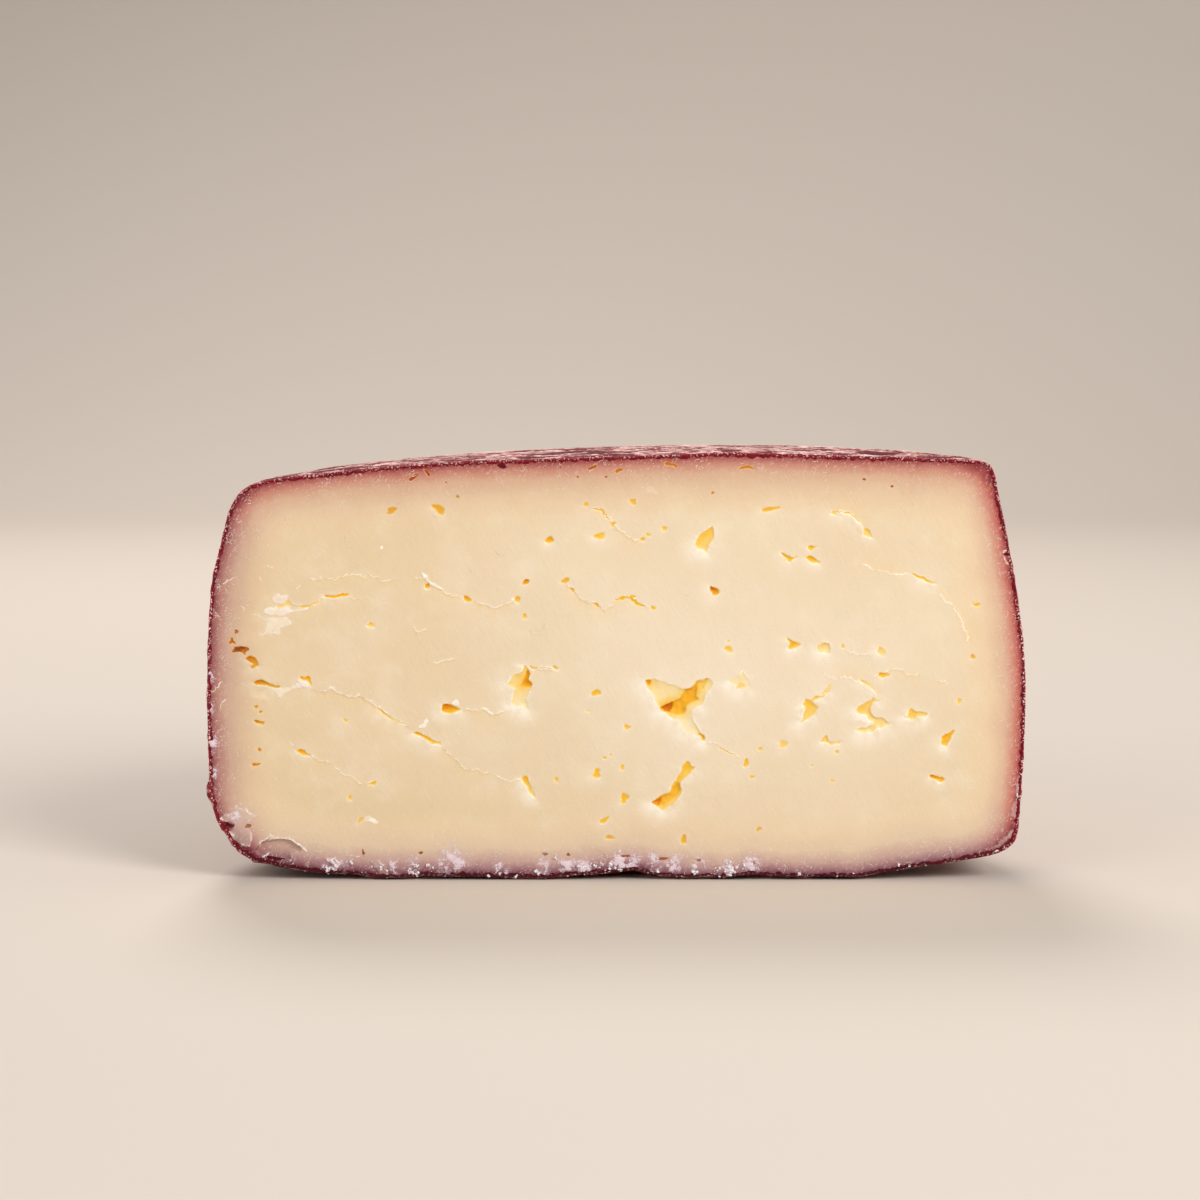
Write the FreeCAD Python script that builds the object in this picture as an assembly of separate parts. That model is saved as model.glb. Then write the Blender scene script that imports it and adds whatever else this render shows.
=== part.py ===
"""Half of a small goat cheese that was soaked in red wine, 180 x 90 x 94 mm.

A wheel was cut through its middle, and this half stands on its foot with the
cut face in front. Origin: bottom centre of the outer box. +Z is up, the cut
face looks along -Y, and +X is to the right of someone who looks at it.

The rind is a surface of meridians: one upright half outline for each angle
about the wheel's axis, turned from the right end of the cut round the back to
the left end. The wheel is a little lopsided, so the sizes of the right and the
left outline differ and those in between are mixed from the two.
"""
import FreeCAD, Part
import math
import os

Vector = FreeCAD.Vector

# ------------------------------------------------------------ driving sizes, mm
WHEEL_RADIUS = 90.0                       # at the belly
CUT_Y = -WHEEL_RADIUS / 2                 # the cut face, so that the box is centred
MERIDIAN_STEP = 15.0                      # degrees between two outlines of the rind

CAP_RADIUS = 22.0                         # flat middle of the top
CAP_HEIGHT = 93.6                         # its height on the wheel's axis
CAP_TILT = math.atan(0.036)               # the top rises to the right

# Each outline: where the flat foot ends, how high the underside has risen by the
# toe, the toe corner with its roundness along the underside (in) and the wall (up),
# the belly, the rim corner above with its roundness, and how far the upper wall
# bows out (lean) and the top bows up (crown).
RIGHT = dict(
    foot=50.0, under_z=4.0, toe_r=88.3, toe_z=5.8, toe_in=14.7, toe_up=7.3,
    belly_r=90.0, belly_z=37.0, lean=1.6,
    rim_r=81.7, rim_z=92.8, rim_round=4.6, crown=0.0)
LEFT = dict(
    foot=52.0, under_z=1.6, toe_r=89.3, toe_z=12.7, toe_in=9.5, toe_up=12.5,
    belly_r=89.8, belly_z=38.0, lean=4.7,
    rim_r=82.5, rim_z=88.8, rim_round=12.0, crown=0.5)

# Where the outline's control points lie between those places, as shares.
UNDER_SHARES = ((0.15, 0.2), (0.55, 0.6))          # foot to toe: out, up
LOW_WALL_SHARES = ((0.35, 0.0), (0.85, 0.62))      # toe to belly: out, up
HIGH_WALL_SHARES = ((0.0, 0.04, 0.0), (0.04, 0.26, 0.0), (0.5, 0.6, 0.5))  # and lean
RIM_RISE = 0.25                                    # lip of the top by the rim
CAP_MARGIN = 6.0                                   # the top runs level to the cap

# The back of the wheel stands between the two, with a slightly fuller rim and
# shallow dents, as a wheel gets from turning by hand in the cellar.
BACK_RIM_RISE = 1.1
DENT_DEPTH = 0.55                         # in and out, round the rind
DENT_WAVES = ((3, 3.5), (5, 1.9), (8, 0.7))    # how many, and where they start

FOOT_NICK = dict(x=3.5, width=7.6, height=1.7, reach=7.0)

# Eyes in the paste, at the cut: centre, width, height, turn in degrees, depth,
# how three-cornered the mouth is (0 round), and how far it bends to one side.
EYES = (
    dict(x=13.9, z=39.8, width=13.4, height=11.2, turn=6, depth=6.5, corners=0.24, bend=0.0),
    dict(x=-20.4, z=43.0, width=4.0, height=9.4, turn=-6, depth=4.5, corners=0.16, bend=0.0),
    dict(x=13.4, z=20.4, width=3.2, height=12.0, turn=-42, depth=5.0, corners=0.0, bend=-0.16),
    dict(x=19.6, z=75.4, width=3.8, height=5.4, turn=-14, depth=3.5, corners=0.20, bend=0.0),
    dict(x=42.8, z=38.6, width=3.4, height=5.8, turn=-18, depth=3.0, corners=0.16, bend=0.0),
    dict(x=55.8, z=37.6, width=3.2, height=7.0, turn=-30, depth=3.0, corners=0.0, bend=-0.25),
    dict(x=72.9, z=32.4, width=1.9, height=4.0, turn=-35, depth=2.2, corners=0.0, bend=0.0),
    dict(x=66.0, z=37.5, width=4.6, height=1.9, turn=10, depth=2.0, corners=0.0, bend=0.0),
    dict(x=-36.2, z=38.3, width=4.2, height=2.1, turn=-4, depth=2.4, corners=0.0, bend=0.0),
    dict(x=-41.1, z=31.8, width=5.4, height=1.9, turn=-24, depth=2.0, corners=0.0, bend=0.0),
    dict(x=-18.9, z=20.6, width=1.7, height=5.0, turn=30, depth=2.0, corners=0.0, bend=0.0),
)
EYE_POINTS = 14                           # round an eye's mouth
EYE_FLOOR = 0.45                          # size of its floor against its mouth
CUTTER_PROUD = 1.0                        # cutters start this far in front of the cut


def mix(a, b, share):
    return a + (b - a) * share


def sizes_at(angle):
    """Outline sizes at an angle about the axis: 0 is the right end, pi the left."""
    to_left = (1 - math.cos(angle)) / 2
    back = math.sin(angle) ** 2
    sizes = {name: mix(RIGHT[name], LEFT[name], to_left) for name in RIGHT}
    sizes["rim_z"] += BACK_RIM_RISE * back
    dent = sum(math.sin(waves * angle + phase) for waves, phase in DENT_WAVES)
    dent *= DENT_DEPTH * back / len(DENT_WAVES)
    for name in ("toe_r", "belly_r", "rim_r"):
        sizes[name] += dent
    return sizes


def outline(sizes, cap_z):
    """Control points (radius, height) of one meridian, from the foot to the cap."""
    s = sizes
    points = [(s["foot"], 0.0)]
    under_r = s["toe_r"] - s["toe_in"]
    for out, up in UNDER_SHARES:
        points.append((mix(s["foot"], under_r, out), up * s["under_z"]))
    points.append((under_r, s["under_z"]))
    points.append((s["toe_r"], s["toe_z"]))
    wall_z = s["toe_z"] + s["toe_up"]
    for out, up in LOW_WALL_SHARES:
        points.append((mix(s["toe_r"], s["belly_r"], out), mix(wall_z, s["belly_z"], up)))
    for out, up, bow in HIGH_WALL_SHARES:
        points.append((mix(s["belly_r"], s["rim_r"], out) + bow * s["lean"],
                       mix(s["belly_z"], s["rim_z"], up)))
    points.append((s["rim_r"] + 0.75 * s["lean"], s["rim_z"] - 1.25 * s["rim_round"]))
    points.append((s["rim_r"] + 0.25 * s["lean"], s["rim_z"] - 0.1 * s["rim_round"]))
    points.append((s["rim_r"] - 0.9 * s["rim_round"], s["rim_z"] + RIM_RISE))
    points.append(((s["rim_r"] + CAP_RADIUS) / 2, (s["rim_z"] + cap_z) / 2 + s["crown"]))
    points.append((CAP_RADIUS + CAP_MARGIN, cap_z + CAP_MARGIN * math.tan(CAP_TILT) / 2))
    points.append((CAP_RADIUS, cap_z))
    return points


def meridian(angle):
    """One outline as a smooth edge, turned about the wheel's axis."""
    cap_z = CAP_HEIGHT + CAP_RADIUS * math.cos(angle) * math.tan(CAP_TILT)
    points = [Vector(r * math.cos(angle), CUT_Y + r * math.sin(angle), z)
              for r, z in outline(sizes_at(angle), cap_z)]
    inner_knots = len(points) - 3
    curve = Part.BSplineCurve()
    mults = [4] + [1] * (inner_knots - 1) + [4]
    curve.buildFromPolesMultsKnots(points, mults, list(range(inner_knots + 1)), False, 3)
    return curve.toShape()


def half_wheel():
    steps = round(180 / MERIDIAN_STEP)
    wires = [Part.Wire(meridian(math.radians(MERIDIAN_STEP * i))) for i in range(steps + 1)]
    rind = Part.makeLoft(wires, False, False).Faces[0]
    ends = sorted(rind.Edges, key=lambda edge: edge.BoundBox.ZLength)
    foot_arc, cap_arc = sorted(ends[:2], key=lambda edge: edge.BoundBox.ZMin)
    left_end, right_end = sorted(ends[2:], key=lambda edge: edge.BoundBox.XMin)
    foot_line, cap_line = (
        Part.makeLine(arc.Vertexes[0].Point, arc.Vertexes[-1].Point)
        for arc in (foot_arc, cap_arc))
    foot = Part.Face(Part.Wire([foot_arc, foot_line]))
    cap = Part.Face(Part.Wire([cap_arc, cap_line]))
    cut_edges = Part.__sortEdges__([foot_line, right_end, cap_line, left_end])
    cut_face = Part.Face(Part.Wire(cut_edges))
    shell = Part.Shell([rind, foot, cap, cut_face])
    shell.sewShape()
    solid = Part.Solid(shell)
    if solid.Volume < 0:
        solid.reverse()
    return solid


def eye_mouth(eye, scale, y):
    """The irregular closed outline of an eye at one depth."""
    turn = math.radians(eye["turn"])
    points = []
    for i in range(EYE_POINTS):
        angle = 2 * math.pi * i / EYE_POINTS
        reach = scale * (1 + eye["corners"] * math.sin(3 * angle))
        across = reach * math.cos(angle) * eye["width"] / 2
        up = reach * math.sin(angle) * eye["height"] / 2
        across += scale * eye["bend"] * eye["height"] * (2 * up / eye["height"]) ** 2
        points.append(Vector(eye["x"] + across * math.cos(turn) - up * math.sin(turn), y,
                             eye["z"] + across * math.sin(turn) + up * math.cos(turn)))
    curve = Part.BSplineCurve()
    curve.interpolate(points, PeriodicFlag=True)
    return Part.Wire(curve.toShape())


def eye_cutter(eye):
    depths = ((1.0, -CUTTER_PROUD), (0.9, 0.4 * eye["depth"]), (EYE_FLOOR, eye["depth"]))
    wires = [eye_mouth(eye, scale, CUT_Y + depth) for scale, depth in depths]
    return Part.makeLoft(wires, True, True)


def foot_nick():
    """A small hollow in the front edge of the foot, where a chip came away."""
    nick = FOOT_NICK
    ball = Part.makeSphere(1.0, Vector(0, 0, 0))
    matrix = FreeCAD.Matrix()
    matrix.scale(nick["width"] / 2, nick["reach"], nick["height"])
    matrix.move(Vector(nick["x"], CUT_Y, 0))
    return ball.transformGeometry(matrix)


def make_cheese():
    cheese = half_wheel()
    cutters = [eye_cutter(eye) for eye in EYES] + [foot_nick()]
    return cheese.cut(cutters).Solids[0]


cheese = make_cheese()
os.makedirs("parts", exist_ok=True)
cheese.exportStep("parts/cheese.step")
print("volume cm3", round(cheese.Volume / 1000, 1), "valid", cheese.isValid())
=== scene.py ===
"""Half of a wine-soaked goat cheese wheel: its looks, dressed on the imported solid.

The cheese is one piece of food, so all pieces here stand for the one node: the
paste with its cut face, the rind round it, and the crumbs and curls that the
knife left. Lengths are in millimetres up to the point where a mesh is made, and
points on the cut face are (x, z) pairs.
"""
import math

import bmesh
import bpy
import numpy as np
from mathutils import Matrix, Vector, geometry, noise
from mathutils.bvhtree import BVHTree
from mathutils.kdtree import KDTree


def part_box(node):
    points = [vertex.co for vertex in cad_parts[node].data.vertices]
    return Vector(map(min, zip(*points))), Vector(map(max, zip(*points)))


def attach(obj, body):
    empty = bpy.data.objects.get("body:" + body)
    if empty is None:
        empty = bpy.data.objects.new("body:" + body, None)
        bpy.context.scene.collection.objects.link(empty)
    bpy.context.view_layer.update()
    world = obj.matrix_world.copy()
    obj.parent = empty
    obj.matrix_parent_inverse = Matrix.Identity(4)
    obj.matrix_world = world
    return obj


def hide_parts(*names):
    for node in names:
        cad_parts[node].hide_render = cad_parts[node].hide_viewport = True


MM = 0.001
NODE = "cheese"
BODY = "root"

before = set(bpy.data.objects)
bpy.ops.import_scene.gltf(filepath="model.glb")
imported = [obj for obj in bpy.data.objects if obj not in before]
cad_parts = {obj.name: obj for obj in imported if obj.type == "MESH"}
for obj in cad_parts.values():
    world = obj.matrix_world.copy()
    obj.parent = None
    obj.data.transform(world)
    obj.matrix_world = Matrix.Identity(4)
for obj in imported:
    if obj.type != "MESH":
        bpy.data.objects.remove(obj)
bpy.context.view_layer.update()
low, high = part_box(NODE)
CUT_Y = low.y / MM                        # the cut face, which looks along -Y
TOP_Z = high.z / MM
HEART = Vector((0.0, CUT_Y + 0.02, 0.43 * TOP_Z))    # every ray to the rind points here
FAR = 300.0

# ------------------------------------------------------------------ sizes, in mm
RIND_THICK = 0.95
PASTE_INSET = 0.35                        # the paste starts this far inside the rind
FACE_STEP = 0.78                          # spacing of points on the plain cut face
MID_STEP = 0.4                            # and near a crack, an eye or the rind
FINE_STEP = 0.24                          # and inside an eye
EDGE_STEP = 0.36                          # along the rim of the cut
RIND_EDGE_STEP = 0.34                     # and along the ragged edge of the rind
EYE_STEP = 0.28                           # along the outline of a drawn eye
SMALL_STEP = 0.22                         # along that of a small eye
PATCH_STEP = 0.3                          # along that of a patch
CRACK_STEP = 0.36                         # along a crack
WOBBLE = 0.08                             # how far the outline of an eye wanders
RIND_STEP = 0.62                          # along the rows of the rind
ROW_FIRST, ROW_GROWTH, ROW_LAST = 0.3, 1.12, 0.8     # between those rows, from the cut on
HIDDEN_STEP = 4.0                         # along the rows of the rind's inner side
BACK_STEP = 3.0                           # along the rows of the paste under the rind
FLECK_REACH = 1.2                         # how far flecks lie back from the cut
PER_SQUARE_MM = 1 / MM ** 2


# ------------------------------------------------------------------- small tools
def rng(seed):
    return np.random.default_rng(seed)


def field(points, size, octaves=2, seed=0.0):
    """Soft noise from -1 to 1 at points in mm, with features of about the size given."""
    shift = Vector((seed * 17.3, seed * -9.1, seed * 5.7))
    return np.array([noise.fractal(Vector(p) / size + shift, 0.8, 2.1, octaves)
                     for p in spatial(points)])


def spatial(points):
    """Points of the cut face as points in space; points in space as they are."""
    points = np.asarray(points, float)
    if points.shape[1] == 3:
        return points
    return np.c_[points[:, 0], np.full(len(points), CUT_Y), points[:, 1]]


def smooth(value, start, end):
    """0 before start, 1 after end, and a soft step between."""
    t = np.clip((value - start) / (end - start), 0.0, 1.0)
    return t * t * (3 - 2 * t)


def resample(line, count, closed=False, weight=None):
    """The same line with points at equal steps, or equal steps of its weight.

    Columns past the third are carried along and don't count as place.
    """
    line = np.asarray(line, float)
    if closed:
        line = np.vstack([line, line[:1]])
    steps = np.linalg.norm(np.diff(line[:, :3], axis=0), axis=1)
    if weight is not None:
        steps = steps * weight
    along = np.r_[0.0, np.cumsum(steps)]
    wanted = np.linspace(0.0, along[-1], count, endpoint=not closed)
    return np.column_stack([np.interp(wanted, along, line[:, k]) for k in range(line.shape[1])])


def length_of(line, closed=False):
    line = np.vstack([line, line[:1]]) if closed else np.asarray(line)
    return np.linalg.norm(np.diff(line, axis=0), axis=1).sum()


def nearest(points, samples):
    """For each point, how far the closest sample is and which one it is."""
    tree = KDTree(len(samples))
    for i, sample in enumerate(samples):
        tree.insert((sample[0], sample[1], 0.0), i)
    tree.balance()
    found = [tree.find((p[0], p[1], 0.0)) for p in points]
    return np.array([f[2] for f in found]), np.array([f[1] for f in found])


def inside(points, loop):
    """Which points of the face lie within a closed outline."""
    x, z = np.asarray(points)[:, 0], np.asarray(points)[:, 1]
    within = np.zeros(len(x), bool)
    ahead = np.roll(loop, -1, axis=0)
    for (x0, z0), (x1, z1) in zip(loop, ahead):
        if z0 == z1:
            continue
        crosses = (z0 > z) != (z1 > z)
        within ^= crosses & (x < (x1 - x0) * (z - z0) / (z1 - z0) + x0)
    return within


def near(points, line, reach):
    """Which points lie in the box of a line, widened by a reach."""
    low_corner, high_corner = line.min(axis=0) - reach, line.max(axis=0) + reach
    return np.flatnonzero(np.all((points > low_corner) & (points < high_corner), axis=1))


def put(name, data):
    """A new object in the scene that holds the data."""
    thing = bpy.data.objects.new(name, data)
    bpy.context.scene.collection.objects.link(thing)
    return thing


def make_piece(name, points, faces, material, marks=None, sharp=None):
    """A mesh object from points in mm; marks are its attributes, one value a point."""
    mesh = bpy.data.meshes.new(name)
    mesh.from_pydata((np.asarray(points) * MM).tolist(), [], faces)
    for key, values in (marks or {}).items():
        layer = mesh.attributes.new(key, "FLOAT", "POINT")
        layer.data.foreach_set("value", np.asarray(values, np.float32))
    mesh.shade_smooth()
    if sharp:
        mesh.set_sharp_from_angle(angle=math.radians(sharp))
    mesh.materials.append(material)
    mesh.update()
    return put(name, mesh)


def dress(piece):
    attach(piece, BODY)
    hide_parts(NODE)


# How high the lower edge of the cut lies above the board, along x.
FOOT_EDGE = ((-88, 11.5), (-86.4, 10.9), (-84.8, 8.0), (-83.5, 6.3), (-81.3, 5.1), (-80, 3.9), (-77, 3.5),
             (-72, 2.6), (-68, 1.9), (-63.6, 1.5), (-57.8, 1.3), (-52.5, 0.5), (-48, 0.5),
             (-43, 0.9), (-33, 0.75), (-23, 0.5), (-16, 0.35), (-11, 0.9), (-5, 1.3), (0.3, 1.8),
             (3.3, 2.1), (6.7, 1.7), (9.7, 0.9), (16.7, 0.55), (20.2, 0.75), (23, 0.5),
             (26.6, 0.75), (29.6, 1.2), (35, 0.9), (40, 0.6), (47, 0.8), (55, 0.6), (62, 0.0))
FOOT_REACH = 6.0                          # how far back the foot is lifted like that


# ------------------------------------------------- where the rind lies in space
def lift_front(points):
    """Raise the front of the foot to the lower edge of the cut."""
    x, y, z = points[:, 0], points[:, 1], points[:, 2]
    edge = np.interp(x, [p[0] for p in FOOT_EDGE], [p[1] for p in FOOT_EDGE]) * (x > -88)
    back = 1 - smooth(y - CUT_Y, 0.0, FOOT_REACH)
    return np.c_[x, y, np.where(z < edge, z + (edge - z) * back, z)]


class Wheel:
    """The outer surface of the solid, read by rays that run in to its heart.

    The table holds lines that start on the rim of the cut and run over the rind to
    the middle of the back. Its rows go once round the rim, from the middle of the
    foot up the right side; its columns go from the cut to the back.
    """
    AROUND = 1200
    RAYS = 110
    COLUMNS = 150

    def __init__(self, node):
        corners = [v.co / MM for v in node.data.vertices]
        faces = [tuple(p.vertices) for p in node.data.polygons]
        tree = BVHTree.FromPolygons(corners, faces)
        rows = []
        for i in range(self.AROUND):
            turn = 2 * math.pi * i / self.AROUND - math.pi / 2
            side = Vector((math.cos(turn), 0.0, math.sin(turn)))
            line = []
            for j in range(self.RAYS):
                rise = math.pi / 2 * j / (self.RAYS - 1)
                out = side * math.cos(rise) + Vector((0.0, math.sin(rise), 0.0))
                line.append(tree.ray_cast(HEART + out * FAR, -out)[0])
            rows.append(resample(line, self.COLUMNS))
        self.table = np.array(rows)
        self.table[:, 0, 1] = CUT_Y
        around = np.roll(self.table, -1, axis=0) - np.roll(self.table, 1, axis=0)
        back = np.gradient(self.table, axis=1)
        out = np.cross(back, around)
        for shift in (1, 2, 4):
            out = out + np.roll(out, shift, axis=0) + np.roll(out, -shift, axis=0)
        size = np.linalg.norm(out, axis=2, keepdims=True)
        self.out = out / np.maximum(size, 1e-9)
        if np.einsum("ijk,ijk->", self.out, self.table - np.array(HEART)) < 0:
            self.out = -self.out
        self.reach = length_of(self.table[0])          # rim to middle of the back

    def loop(self, share, step, density=None):
        """One line round the rind at a share of the way back: points, outward ways."""
        column = share * (self.COLUMNS - 1)
        first = min(int(column), self.COLUMNS - 2)
        part = column - first
        both = np.concatenate([self.table, self.out], axis=2)
        line = both[:, first] * (1 - part) + both[:, first + 1] * part
        weight = density(line) if density else None
        total = np.linalg.norm(np.diff(line[:, :3], axis=0), axis=1)
        total = (total * weight[:-1]).sum() if density else total.sum()
        count = max(8, round(total / step))
        found = resample(line, count, True, weight)
        ways = found[:, 3:] / np.linalg.norm(found[:, 3:], axis=1, keepdims=True)
        return lift_front(found[:, :3]), ways


class Skin:
    """A closed surface made of loops, stitched one to the next."""

    def __init__(self):
        self.points, self.faces, self.marks = [], [], {}
        self.total = 0
        self.last = None

    def add_points(self, points, **marks):
        start = self.total
        self.points.append(np.asarray(points, float))
        self.total += len(points)
        for key, values in marks.items():
            self.marks.setdefault(key, []).append(np.broadcast_to(values, len(points)))
        return start

    def add_loop(self, points, **marks):
        start = self.add_points(points, **marks)
        if self.last:
            self.stitch(*self.last, start, len(points))
        self.last = (start, len(points))

    def stitch(self, a, count_a, b, count_b):
        """Join two loops that start side by side, always by the shorter cross edge."""
        first = [Vector(p) for p in self.points[-2][-count_a:]]
        second = [Vector(p) for p in self.points[-1]]
        i = j = 0
        while i < count_a or j < count_b:
            ahead_a = (first[(i + 1) % count_a] - second[j % count_b]).length_squared
            ahead_b = (second[(j + 1) % count_b] - first[i % count_a]).length_squared
            if j >= count_b or (i < count_a and ahead_a <= ahead_b):
                self.faces.append((a + i % count_a, b + j % count_b, a + (i + 1) % count_a))
                i += 1
            else:
                self.faces.append((a + i % count_a, b + j % count_b, b + (j + 1) % count_b))
                j += 1

    def close(self, point, flip=False, **marks):
        """End on one point, with a fan to the last loop."""
        start, count = self.last
        tip = self.add_points([point], **marks)
        for i in range(count):
            edge = (start + i, tip, start + (i + 1) % count)
            self.faces.append(edge[::-1] if flip else edge)
        self.last = None

    def begin(self, point, **marks):
        self.tip = self.add_points([point], **marks)

    def open_from_tip(self):
        start, count = self.last
        for i in range(count):
            self.faces.append((start + (i + 1) % count, self.tip, start + i))

    def all_points(self):
        return np.vstack(self.points)

    def all_marks(self):
        return {key: np.concatenate(values) for key, values in self.marks.items()}


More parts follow.
